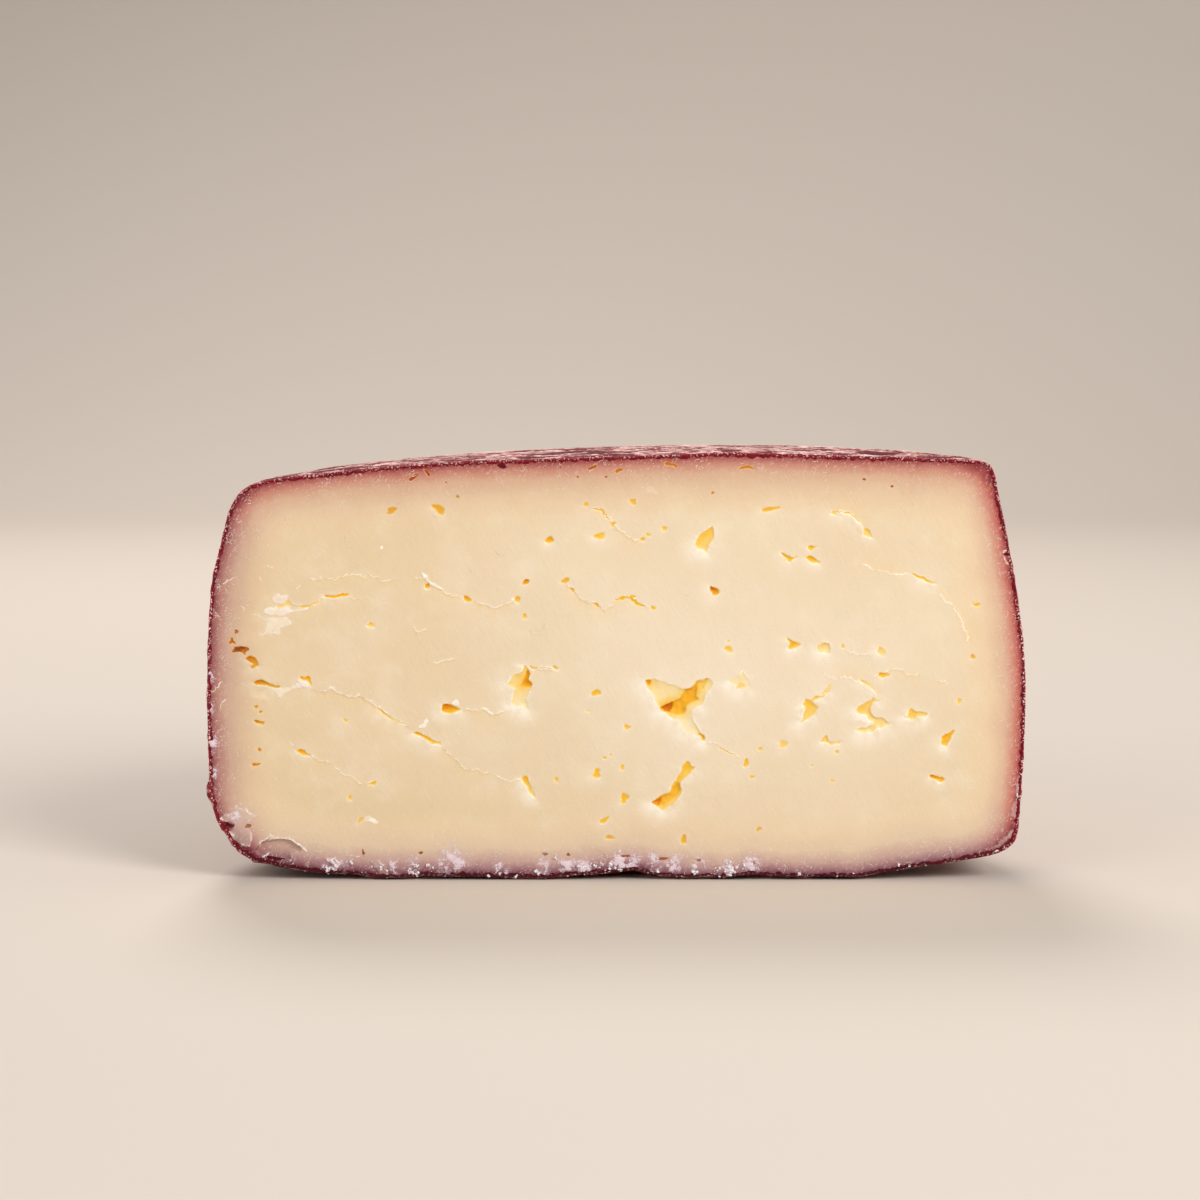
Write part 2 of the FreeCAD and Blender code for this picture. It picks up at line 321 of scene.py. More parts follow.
# --------------------------------------------------------- what the cut face shows
# All places are x, z in mm on the cut, and outlines run in to their first point.
# The eyes with a shape of their own: depth, how wide the walls are, amber 0..1.4,
# brown 0..1, and the outline.
DRAWN_EYES = (
    # the three-cornered eye, the tall one on its left and the bent one below it
    (0.4, 0.55, 0.12, 0, ((6.4, 44.5), (6.8, 43.4), (7.1, 42.6), (7.9, 41.8), (8.4, 40.9), (8.7, 39.9),
     (9.1, 39.1), (9.8, 38.8), (9.6, 38.2), (10.2, 37.6), (11.1, 37.4), (11.9, 36.5), (12.6, 35.9),
     (13.4, 36), (14.1, 35.7), (14.2, 35.2), (14.6, 34.3), (14.9, 33.4), (15.7, 32.7), (16.3, 33),
     (17.3, 32.8), (18.1, 32.2), (18.6, 32.1), (18.8, 31.4), (19, 31), (19.5, 31.1), (19.6, 32),
     (19.2, 32.4), (18.4, 32.8), (18.1, 33.4), (17.7, 34.4), (17, 35.3), (16.6, 36.3), (16.5, 37.2),
     (16.7, 38), (17.5, 38.6), (18.6, 39.1), (19.3, 39.7), (19.4, 40.6), (19.8, 41.8), (20.7, 42.6),
     (21.2, 43.7), (21, 44.4), (20.2, 44.9), (19.6, 45), (19.1, 44.5), (18, 44.5), (17.5, 44.3),
     (17.2, 43.7), (16.6, 42.9), (15.9, 42.6), (14.6, 42.5), (13.8, 42.9), (13, 43.4), (12.2, 43.5),
     (11.4, 43.7), (10.6, 44.1), (9.5, 44.2), (8.6, 44.8), (7.9, 44.6))),
    (0.4, 0.45, 0.25, 0, ((-20.3, 47.9), (-20.1, 47.4), (-20.4, 46.5), (-21.1, 46), (-22.1, 45.9),
     (-22.6, 45.6), (-23, 44.7), (-23.6, 43.9), (-23.7, 43.4), (-23.2, 43.2), (-22.4, 42.9), (-22, 42.5),
     (-22.3, 41.9), (-22.5, 41.2), (-22.6, 40.4), (-22.8, 39.5), (-22.4, 38.9), (-21.6, 38.7), (-20.8, 39),
     (-20.4, 38.7), (-19.9, 38), (-19.3, 38), (-19.1, 38.2), (-19.4, 38.5), (-19.3, 39.3), (-19.7, 40.2),
     (-19.6, 40.7), (-19.3, 41.5), (-19, 42.2), (-18.7, 42.9), (-18.3, 43.5), (-18.4, 43.9), (-19.1, 44.4),
     (-19.3, 44.8), (-19, 45.4), (-18.7, 46), (-19.1, 46.5), (-19.4, 47.2), (-19.7, 47.5), (-20.1, 47.7))),
    (0.42, 0.4, 0.5, 0, ((7.8, 17.4), (8.7, 16.9), (9.4, 16.4), (10.1, 15.6), (11.2, 16.2), (12.2, 16.6),
     (13, 17.4), (13.7, 18.3), (14.1, 19.1), (14.6, 19.8), (14.2, 20.8), (14.1, 21.8), (14.6, 22.2),
     (15.3, 22.9), (16.2, 23.7), (16.8, 24.6), (17.4, 25.1), (17, 25.4), (16.5, 25.5), (16.3, 26.1),
     (15.8, 26.6), (15.3, 26.3), (14.9, 25.7), (14.4, 25.2), (14.6, 24.6), (14.1, 23.8), (13.4, 22.9),
     (13.2, 22.1), (12.6, 21.7), (12.2, 20.8), (12.1, 20), (11.4, 19.3), (10.2, 19), (9.3, 18.4),
     (8.5, 17.8))),
    # single eyes in the upper half
    (0.5, 0.35, 0.5, 0, ((21, 78.3), (21.3, 77.2), (21.45, 75.9), (20.2, 74.2), (19.8, 72.4), (18.9, 73.3),
     (17.7, 73.5), (17.25, 74.4), (17.5, 75.3), (18.3, 76.5), (19.8, 77.6))),
    (0.6, 0.25, 1.1, 0.1, ((20.6, 65.15), (22.1, 64.7), (22.6, 63.9), (22.1, 63.2), (21.1, 63.25),
     (20.95, 63.9), (20.6, 64.1))),
    (0.5, 0.25, 0.85, 0, ((-15.45, 75.2), (-14.8, 75.9), (-14.2, 76.15), (-13.5, 75.2), (-14, 74.8),
     (-15, 74.65))),
    # the group on the right
    (0.45, 0.3, 0.5, 0, ((41.5, 40.4), (42.6, 40.1), (43.8, 41.1), (44.6, 40.9), (45.4, 41), (46.6, 42.4),
     (47, 42.9), (47.2, 42.7), (46.9, 42.2), (45.6, 41), (45.3, 40.6), (44.1, 40.4), (42.9, 39.8),
     (43.4, 39.3), (44.5, 38.6), (44, 37.6), (43.6, 37.1), (42.9, 36.4), (41.9, 35.9), (40.6, 35),
     (40.5, 35.2), (41.1, 35.9), (41.1, 36.9), (41.5, 37.9), (41.6, 38.3), (41.1, 39.1))),
    (0.45, 0.3, 0.4, 0, ((56.4, 40.6), (56.8, 40), (58.1, 40.1), (57.8, 39.9), (56.7, 39.8), (56.3, 39.4),
     (55.8, 38.4), (55.9, 37.4), (56.4, 36.6), (57.3, 36.1), (58.3, 36.3), (59.3, 35.5), (60.1, 34.9),
     (59.6, 34.5), (58.8, 34.3), (58.1, 33.9), (57.3, 34.2), (56.8, 33.4), (56.1, 32.8), (55.3, 33.2),
     (54.1, 32.9), (52.8, 33.3), (53.1, 33.9), (54.6, 33.9), (55.6, 34.2), (56.6, 34.7), (56.3, 35.4),
     (55.3, 35.9), (55.2, 36.6), (54.6, 37.1), (53.6, 37), (52.8, 37.4), (52.7, 38.1), (53.6, 39),
     (54.3, 39.1), (55.1, 39.8), (55.8, 40.1))),
    (0.4, 0.3, 0.5, 0, ((63.3, 36.3), (64, 36.4), (64.3, 37.9), (64.8, 38.3), (65.8, 37.5), (66.8, 37.6),
     (67.5, 37.3), (68.4, 37.1), (68.1, 36.5), (67.3, 36.5), (66, 36.5), (65.8, 35.9), (64.9, 35.6),
     (64.2, 36.1))),
    (0.45, 0.3, 0.75, 0, ((74, 33.5), (74.4, 33.3), (73.7, 31.9), (73.1, 30.7), (72.6, 29.9), (71.5, 30.2),
     (71.4, 30.4), (71.6, 31.2), (71.5, 31.9), (72.2, 32.5), (73, 32.7))),
    (0.4, 0.2, 0.9, 0, ((69, 23.4), (69.5, 23.6), (70.2, 23.2), (71.1, 23), (71.7, 23), (72.3, 22.4),
     (71.4, 21.8), (70.7, 22.4), (69.8, 22.7), (69.2, 22.8))),
    (0.4, 0.25, 0.4, 0, ((45, 30.8), (45.7, 31.9), (46.2, 32.3), (46.5, 32), (46.4, 31.3), (46.9, 30.7),
     (48.1, 30.7), (49.1, 30.9), (49.6, 31.2), (49.5, 30.9), (48.9, 30.3), (47.9, 30.3), (47.1, 30),
     (46.5, 30.6), (45.9, 30.8), (45.4, 30.7))),
    (0.45, 0.3, 0.7, 0, ((44.1, 51.9), (45.3, 52.7), (46.7, 52.5), (46.9, 50.9), (46.3, 50.25),
     (45.3, 50.9), (44.3, 50.8))),
    (0.4, 0.3, 0.7, 0, ((37.35, 53.75), (38.8, 53.1), (40.6, 52.4), (39.8, 51.9), (38.2, 51.3),
     (37.6, 51.7), (38.2, 52.7))),
    # brown pits near the left wall, then just under the top
    (0.25, 0.2, 1.1, 0.9, ((-84.8, 52.7), (-84.3, 53.1), (-84.1, 53.9), (-83.8, 53.7), (-83.9, 53.3),
     (-83.4, 52.8), (-83.2, 52.5), (-83.6, 52.6), (-83.9, 52.9), (-84.4, 52.5))),
    (0.25, 0.2, 1.2, 0.8, ((-84.2, 50.8), (-83.4, 51.5), (-83.6, 51.9), (-83.1, 51.7), (-82.1, 52),
     (-81.2, 51.8), (-80.4, 51.6), (-80.3, 51.2), (-80.9, 50.9), (-81.2, 50.5), (-81.1, 50.1),
     (-81.8, 50.6), (-82.5, 50.8), (-83.1, 50.8), (-84, 50.6))),
    (0.25, 0.3, 0.95, 0.35, ((-81.1, 49.2), (-80.8, 49.7), (-80, 50), (-79.1, 49.6), (-78.5, 48.8),
     (-78.1, 47.8), (-78.5, 47.6), (-78.9, 47.7), (-79.2, 47.2), (-79.7, 47), (-80.1, 47.4), (-79.8, 47.8),
     (-79.3, 48), (-80, 48.4), (-80.5, 48.7))),
    (0.25, 0.2, 0.9, 1, ((-45.1, 88.5), (-44.4, 89), (-43.7, 89.6), (-43.2, 89.9), (-42.9, 89.6),
     (-43.6, 89), (-44.3, 88.4), (-45, 88.2))),
    (0.25, 0.2, 0.9, 1, ((-41.8, 90.6), (-41.1, 90.5), (-40.8, 90), (-40.4, 89.3), (-40.9, 89.2),
     (-41.3, 89.9))),
    (0.25, 0.2, 0.9, 0.9, ((-6.3, 90.8), (-5.6, 91.2), (-4.9, 91.4), (-4.4, 91.8), (-4.2, 91.3),
     (-4.8, 90.9), (-5.6, 90.6))),
    (0.25, 0.2, 0.8, 0.7, ((-0.2, 90.2), (0.2, 90.8), (0.8, 90.9), (1.6, 90.7), (1, 90.4), (0.4, 90.2),
     (0.1, 89.8))),
    (0.25, 0.2, 0.8, 0.7, ((10.5, 91.9), (11, 92.4), (11.7, 92.1), (12.6, 92), (13.1, 91.8), (13.4, 91),
     (12.9, 91), (12.5, 91.5), (11.7, 91.6), (11.1, 91.5))),
    (0.25, 0.2, 0.8, 0.6, ((26.6, 90.6), (27.2, 91.2), (28.4, 91.5), (29.6, 91.2), (30, 90.6), (29.2, 90.9),
     (28.4, 91), (27.4, 90.8))),
    # golden eyes at the ends of cracks on the left
    (0.5, 0.25, 0.85, 0.3, ((-79.4, 43.9), (-78.7, 44.4), (-77.7, 44.6), (-76.7, 44.1), (-75.7, 43.6),
     (-74.7, 43.3), (-73.5, 43.1), (-74, 42.8), (-75, 43), (-76, 43.2), (-76.9, 43.5), (-78, 43.5),
     (-79, 43.6))),
    (0.45, 0.25, 0.8, 0, ((-69.3, 45.1), (-68.9, 45.3), (-68.3, 44.9), (-67.7, 45.4), (-67.1, 45.3),
     (-67, 44.6), (-66.7, 43.6), (-66.9, 43.2), (-67.3, 43.9), (-67.7, 44.5), (-68.4, 44.6), (-69, 44.8))),
    (0.25, 0.2, 0.4, 0, ((-74.3, 60.7), (-73.5, 61.1), (-72.8, 61), (-72.2, 61.6), (-71.6, 62.3),
     (-71.4, 62.1), (-71.3, 61.6), (-71.1, 60.9), (-71.7, 60.8), (-72.5, 60.9), (-73.2, 60.6),
     (-73.8, 60.5))),
    # the row at the upper right
    (0.4, 0.25, 0.45, 0, ((53.9, 77.9), (54.6, 77.8), (55.4, 77.3), (55.6, 76.5), (56, 75.7), (55.1, 76),
     (54.2, 76.3), (53.9, 76.6), (54.1, 77.2))),
    (0.4, 0.2, 0.6, 0, ((41.9, 73.3), (42, 73.9), (42.5, 74), (43.2, 73.8), (43.9, 73.9), (43, 73.4),
     (42.5, 73.1))),
    (0.4, 0.2, 0.7, 0, ((41.4, 71.4), (42, 71.8), (43, 71.6), (43.9, 70.9), (44.6, 70.2), (43.5, 70.3),
     (42.5, 70.4), (41.7, 71.2))),
    (0.4, 0.2, 0.75, 0, ((36, 72.5), (37, 72.1), (37.9, 71.6), (38.4, 71.4), (39.5, 71.6), (38.2, 71),
     (37.9, 70.3), (37.4, 71), (36.5, 71.9))),
    (0.3, 0.2, 0.5, 0, ((46.7, 81.2), (47.4, 81.6), (48.1, 81.1), (48.1, 80.8), (47.4, 80.9))),
    # slots where a crack stands open
    (0.25, 0.2, 0.7, 0, ((64.6, 67.9), (65.1, 67.9), (65.6, 67.5), (66.3, 67.3), (67, 67.3), (67.5, 66.9),
     (68, 66.5), (68.7, 66.2), (70, 65.8), (69.2, 65.7), (68.3, 65.9), (67.6, 66.2), (67.2, 66.6),
     (66.6, 66.9), (65.8, 67.1), (65.2, 67.5))),
    (0.3, 0.2, 0.8, 0, ((-63.9, 63.1), (-63.3, 63.3), (-62.6, 63), (-61.6, 63.1), (-60.9, 63.2),
     (-60.1, 63.5), (-59.6, 63.6), (-58.2, 63.4), (-58.8, 63), (-59.8, 63), (-60.7, 62.8), (-61.8, 62.6),
     (-63, 62.7))),
    (0.3, 0.2, 0.75, 0, ((-44.4, 32.8), (-43.7, 33.1), (-43, 32.8), (-42, 32.2), (-41.1, 31.9),
     (-40.4, 31.3), (-39.7, 30.9), (-38.8, 31), (-38.4, 30.1), (-39.2, 30.5), (-40.4, 30.4), (-41.1, 31),
     (-42, 31.7), (-43, 32.3), (-43.7, 32.5))),
    (0.15, 0.2, 0.4, 0, ((-52.5, 38.5), (-51.3, 37.9), (-50.2, 36.9), (-49, 36.1), (-47.9, 35.6),
     (-46.7, 35.1), (-46, 34.7), (-46.7, 34.8), (-47.9, 35.3), (-49, 35.7), (-50.2, 36.4), (-51.4, 37.4))),
    (0.2, 0.2, 0.6, 0, ((-69.1, 60.9), (-68.3, 61), (-67.4, 60.9), (-66.8, 61.2), (-66, 61.6),
     (-65.1, 61.9), (-64.9, 61.8), (-65.8, 61.4), (-66.7, 60.9), (-67.4, 60.6), (-68.3, 60.6),
     (-69.1, 60.6))),
    (0.2, 0.15, 0.6, 0, ((47.8, 81.6), (48.6, 81.5), (49.1, 81.6), (49.7, 81.3), (50.6, 81.4), (51.2, 81),
     (51.8, 80.4), (52.6, 79.7), (53.2, 79.2), (53.1, 79), (52.5, 79.5), (51.8, 80.2), (51.2, 80.9),
     (50.5, 81.2), (49.7, 81.1), (49.1, 81.4), (48.6, 81.4), (48.1, 81.5))),
    (0.15, 0.15, 0.35, 0, ((53.4, 44.6), (53.9, 44.6), (54.8, 44.1), (55.9, 43.2), (56.5, 42.4),
     (55.7, 42.8), (54.7, 43.6), (53.6, 44.2))),
    (0.15, 0.15, 0.4, 0, ((45.1, 41.5), (45.9, 42.4), (46.9, 43.6), (47.2, 43.5), (46.2, 42.3),
     (45.4, 41.3))),
    # eyes of middling size, and the pale hollow beside the three-cornered one
    (0.18, 0.3, 0.3, 0, ((44.1, 52.1), (44.7, 52.5), (45.6, 52.9), (46.4, 52.5), (46.9, 52.1), (46.8, 51.2),
     (47, 50.5), (46.4, 50.2), (46, 50.5), (45.6, 50.7), (45.2, 50.8), (44.9, 50.5), (44.4, 50.7),
     (44.2, 51), (44.4, 51.3))),
    (0.2, 0.3, 0.4, 0, ((57.5, 52.1), (58, 51.8), (58.6, 51.5), (59.1, 50.8), (58.8, 50), (58.5, 49.8),
     (58, 50), (57.4, 50.4), (57.1, 50.8), (57.4, 51.5))),
    (0.3, 0.25, 0.7, 0, ((57.4, 45.7), (57.9, 46.2), (58.5, 46.2), (59.1, 45.9), (60, 45.8), (59.9, 45.5),
     (59.1, 45.3), (58.5, 45), (57.9, 45.3))),
    (0.25, 0.2, 0.8, 0, ((78, 61.3), (78.6, 61.2), (79.2, 61.5), (79.6, 61.1), (79.2, 60.8), (78.6, 60.7),
     (78.3, 61))),
    (0.3, 0.2, 0.9, 0, ((-41.7, 65.4), (-41.3, 65.6), (-41, 65.8), (-40.7, 65.3), (-40.9, 64.7),
     (-41.7, 64.8))),
    (0.35, 0.2, 0.85, 0, ((-33.2, 63.1), (-32.7, 63), (-32.1, 62.6), (-31.5, 62.2), (-32.1, 61.8),
     (-32.7, 61.8), (-33.1, 62.3))),
    (0.3, 0.2, 0.7, 0, ((-22.1, 62.7), (-21.7, 62.8), (-21.4, 63), (-20.9, 62.4), (-21.1, 61.8),
     (-21.6, 61.6), (-22, 62))),
    (0.4, 0.2, 1.05, 0.1, ((-20.4, 65.7), (-20.2, 66.3), (-19.6, 66.7), (-19, 66.5), (-19.2, 65.9),
     (-19.8, 65.6))),
    (0.5, 0.25, 0.95, 0, ((-38.2, 38.2), (-38.1, 39), (-37.3, 39.3), (-36.1, 39.1), (-35.4, 38.7),
     (-33.9, 38), (-35.2, 37.5), (-36.4, 37.1), (-37.5, 37.3), (-38.2, 37.7))),
    (0.35, 0.3, 0.55, 0, ((-20.7, 22.8), (-20, 23.3), (-19.3, 22.9), (-19.2, 22.1), (-18.8, 21),
     (-18.2, 19.6), (-17.6, 18.4), (-18.4, 18.8), (-19.2, 20), (-19.7, 21.2), (-20.4, 22.1))),
    (0.35, 0.25, 0.75, 0, ((-70.1, 28.9), (-69.2, 29.3), (-68.4, 28.9), (-68, 28.3), (-66.6, 27.6),
     (-67.7, 27.8), (-68.8, 28), (-69.7, 28.4))),
    (0.3, 0.2, 0.9, 0.35, ((-79.4, 35.6), (-78.5, 35.6), (-78.1, 35.4), (-77.2, 35.3), (-77.4, 34.6),
     (-78.2, 34.9), (-78.9, 35))),
    (0.25, 0.2, 0.55, 0, ((-19, 47.6), (-18.1, 47.4), (-17.1, 47.4), (-17.3, 47.1), (-18.1, 46.9),
     (-18.8, 47.2))),
    (0.25, 0.2, 0.65, 0, ((-13.9, 47.5), (-13.5, 47.7), (-12.6, 46.9), (-13.1, 46.8))),
    (0.25, 0.2, 0.5, 0, ((-54.5, 56.6), (-54.1, 57.1), (-53.5, 57.2), (-52.8, 56.7), (-53, 56.2),
     (-53.6, 56.2), (-54.1, 56.5))),
    (0.15, 0.3, 0.12, 0, ((24.6, 44.3), (25.4, 44.7), (26.2, 45.3), (27.2, 45.4), (27.5, 46.1),
     (27.9, 46.5), (28.2, 45.5), (28.8, 45), (29.2, 44.2), (29.4, 43), (28.6, 42.5), (27.8, 42.3),
     (27.2, 42.6), (26.5, 43.3), (25.6, 43.7))),
)
# Hollows inside the eyes, where they go deeper and turn a darker amber, painted as the shade of the deeper
# pit: depth, wall, amber.
HOLLOWS = (
    # in the three-cornered eye
    (1, 0.5, 0.8, ((9.8, 38.4), (11.1, 39.3), (12.6, 39.7), (13.8, 40.3), (14.4, 41.1), (15, 42.4),
     (16.6, 42.8), (17.3, 43.6), (17.6, 44.3), (18.2, 44), (17.9, 42.8), (17.6, 40.9), (18.3, 40.1),
     (16.5, 39.5), (15.4, 38.6), (15.3, 37.5), (14.5, 36.8), (13, 36.8), (11.4, 37.4))),
    (1.35, 0.3, 1.25, ((9.8, 38.4), (11.1, 39.2), (12.5, 39.7), (12.4, 38.3), (11.6, 37.5), (10.8, 37.6))),
    (0.6, 0.4, 0.55, ((17.6, 44.3), (19.1, 44.4), (19.7, 44.9), (20.3, 44.7), (19.6, 43.6), (19.1, 42.5),
     (18, 41.9), (17.7, 40.9), (17.8, 42.8))),
    (0.6, 0.3, 1, ((6.5, 44.4), (6.8, 43.5), (7.3, 43.3), (7.5, 43.9), (7.6, 44.5))),
    (0.5, 0.2, 0.7, ((18.1, 32.3), (18.7, 32.2), (18.9, 31.3), (19.4, 31.2), (19.4, 32.1), (18.5, 32.7))),
    # in the tall eye
    (0.8, 0.3, 0.9, ((-21, 43.2), (-20.5, 44.2), (-19.8, 45.8), (-19.3, 46.8), (-18.8, 46), (-19.2, 44.8),
     (-19.1, 44.4), (-18.4, 43.8), (-18.5, 43.1), (-19.5, 42.8), (-20.5, 43))),
    # in the bent eye
    (0.75, 0.4, 0.7, ((7.9, 17.3), (9.3, 18.3), (10.3, 18.9), (12, 19.4), (12.4, 20.6), (13.3, 21.7),
     (14, 21.7), (14.2, 20.3), (13.6, 18.9), (12.5, 18), (11.2, 17.2), (10.2, 16.5), (9.3, 16.6))),
    (1, 0.3, 1.1, ((7.9, 17.4), (9.1, 18.1), (10.1, 18.4), (9.8, 17.3), (9.4, 16.6), (8.7, 16.9))),
)

# Small eyes: middle, width, height, turn in degrees, depth, gold, brown.
SMALL_EYES = (
    (-4.2, 23.7, 2, 1.9, 0, 1.1, 0.9, 0), (1.9, 18.3, 2.2, 2, 20, 1.2, 0.9, 0),
    (-4.4, 41.7, 2, 1.5, 10, 1, 0.9, 0), (2.5, 34.1, 1.3, 1.2, 0, 0.8, 0.8, 0),
    (1.4, 25.1, 1.1, 1.1, 0, 0.8, 0.8, 0), (-13.1, 22.4, 1.1, 1, 0, 0.8, 0.8, 0),
    (-2.6, 13.4, 2.6, 1, 22, 0.7, 0.85, 0), (-1.3, 9.5, 2.2, 0.9, 5, 0.8, 0.8, 0.2),
    (15, 9.1, 1.5, 2, 0, 1, 0.9, 0.1), (24.7, 51.4, 1.8, 1.5, 0, 0.7, 0.7, 0),
    (28.6, 26.1, 1.3, 1.8, 0, 0.9, 0.9, 0), (29.9, 23, 0.9, 0.9, 0, 0.7, 0.8, 0),
    (31.7, 29.3, 0.9, 0.9, 0, 0.7, 0.8, 0), (31.5, 11.4, 1.1, 1.1, 0, 0.7, 0.8, 0.2),
    (-15.6, 5.8, 1.53, 0.595, 0, 0.7, 0.6, 1), (-10.5, 5.7, 1.02, 0.595, 0, 0.7, 0.6, 1),
    (1.9, 5.3, 2.04, 0.765, 0, 0.7, 0.6, 1), (10.3, 4.8, 2.8, 0.595, 2, 0.7, 0.6, 1),
    (18.5, 4.5, 1.53, 0.595, 0, 0.7, 0.6, 1), (30.2, 3.8, 1.53, 0.595, 0, 0.7, 0.6, 1),
    (75.3, 39.9, 1.1, 1.1, 0, 0.7, 0.8, 0), (78.1, 49.7, 1.2, 0.9, 0, 0.7, 0.8, 0.2),
    (36.8, 30.4, 2.6, 1.5, -10, 0.7, 0.6, 0), (48.6, 28.6, 1.1, 0.7, 0, 0.6, 0.8, 0),
    (49.6, 52, 0.9, 0.8, 0, 0.6, 0.8, 0), (-83, 55.2, 1.2, 0.8, 20, 0.7, 0.7, 0.9),
    (-78.9, 38.6, 0.935, 0.68, 0, 0.7, 1.5, 0.25), (-78, 37.5, 0.765, 0.595, 0, 0.7, 1.5, 0.25),
    (-78.3, 29.1, 0.935, 0.68, 0, 0.7, 1.5, 0.25), (-79.2, 25.8, 1.7, 0.765, 10, 0.7, 1.5, 0.25),
    (-59.3, 35.6, 0.9, 0.9, 0, 0.7, 0.8, 0), (-58.5, 18.4, 1.1, 1, 0, 0.7, 0.8, 0),
    (-53.4, 21.6, 1.3, 1, 0, 0.7, 0.8, 0), (-81, 12.1, 1.6, 1, 0, 0.8, 0.6, 0.9),
    (-56.2, 13.4, 2, 0.9, 30, 0.6, 0.6, 0.1), (-55.7, 6, 0.595, 1.53, 0, 0.7, 0.6, 1),
    (-43, 6.1, 0.85, 0.68, 0, 0.7, 0.6, 1), (-48.9, 81.8, 2.9, 1.3, 15, 0.8, 0.85, 0.3),
    (-38.7, 82.1, 3.5, 1.8, -25, 0.9, 0.9, 0.2), (-34.5, 84.8, 0.88, 0.63, 0, 0.7, 0.8, 0.65),
    (-6.5, 83, 1.3, 1, 0, 0.7, 0.8, 0.1), (3.7, 83.7, 1.8, 1.3, 0, 0.8, 0.8, 0.1),
    (-0.7, 78.8, 1.2, 1, 0, 0.7, 0.8, 0), (-3.6, 76.2, 2.4, 1.8, 20, 0.8, 0.8, 0),
    (10.6, 77.8, 1.5, 0.9, 10, 0.7, 0.8, 0), (7, 76.4, 1.1, 0.8, 0, 0.7, 0.8, 0),
    (5.9, 75.4, 0.9, 0.7, 0, 0.7, 0.8, 0), (-11.1, 66.4, 1.8, 1.3, 0, 0.9, 0.9, 0.1),
    (-20, 58.6, 1.1, 1, 0, 0.8, 0.8, 0), (3.5, 62.8, 1.5, 1, 0, 0.8, 0.8, 0),
    (1.4, 62.7, 1, 0.8, 0, 0.7, 0.8, 0), (8.1, 60.4, 1.1, 0.9, 0, 0.8, 0.9, 0),
    (33.7, 82.1, 3.7, 1, 8, 0.8, 0.85, 0.1), (21, 85.6, 0.8, 0.56, 0, 0.6, 0.7, 0.65),
    (-2.2, 89.1, 0.8, 0.49, 0, 0.5, 0.7, 0.95), (54, 88.5, 0.7, 0.7, 0, 0.6, 0.3, 1),
    (60, 87, 0.6, 0.6, 0, 0.6, 0.3, 1), (81.7, 87.1, 0.6, 0.5, 0, 0.5, 0.2, 1),
    (80.9, 86.4, 0.5, 0.5, 0, 0.5, 0.2, 1), (43.1, 25.6, 0.7, 0.6, 0, 0.5, 0.7, 0),
    (47.6, 22.2, 1.1, 0.7, 0, 0.6, 0.7, 0), (-37, 87.9, 0.56, 0.42, 0, 0.5, 0.7, 0.85),
    (-12.1, 91.1, 0.6, 0.5, 0, 0.5, 0.3, 1), (-8.4, 89.1, 0.56, 0.49, 0, 0.5, 0.6, 1),
    (27.3, 43.3, 1.9, 1.2, 10, 0.5, 0.5, 0), (-2.5, 27.3, 0.8, 0.6, 0, 0.6, 0.8, 0),
    (-1.2, 28, 0.6, 0.5, 0, 0.6, 0.8, 0), (-6.1, 37.7, 1, 0.5, -15, 0.5, 0.6, 0),
    (24.6, 53.1, 0.6, 0.8, 0, 0.5, 0.6, 0),
)

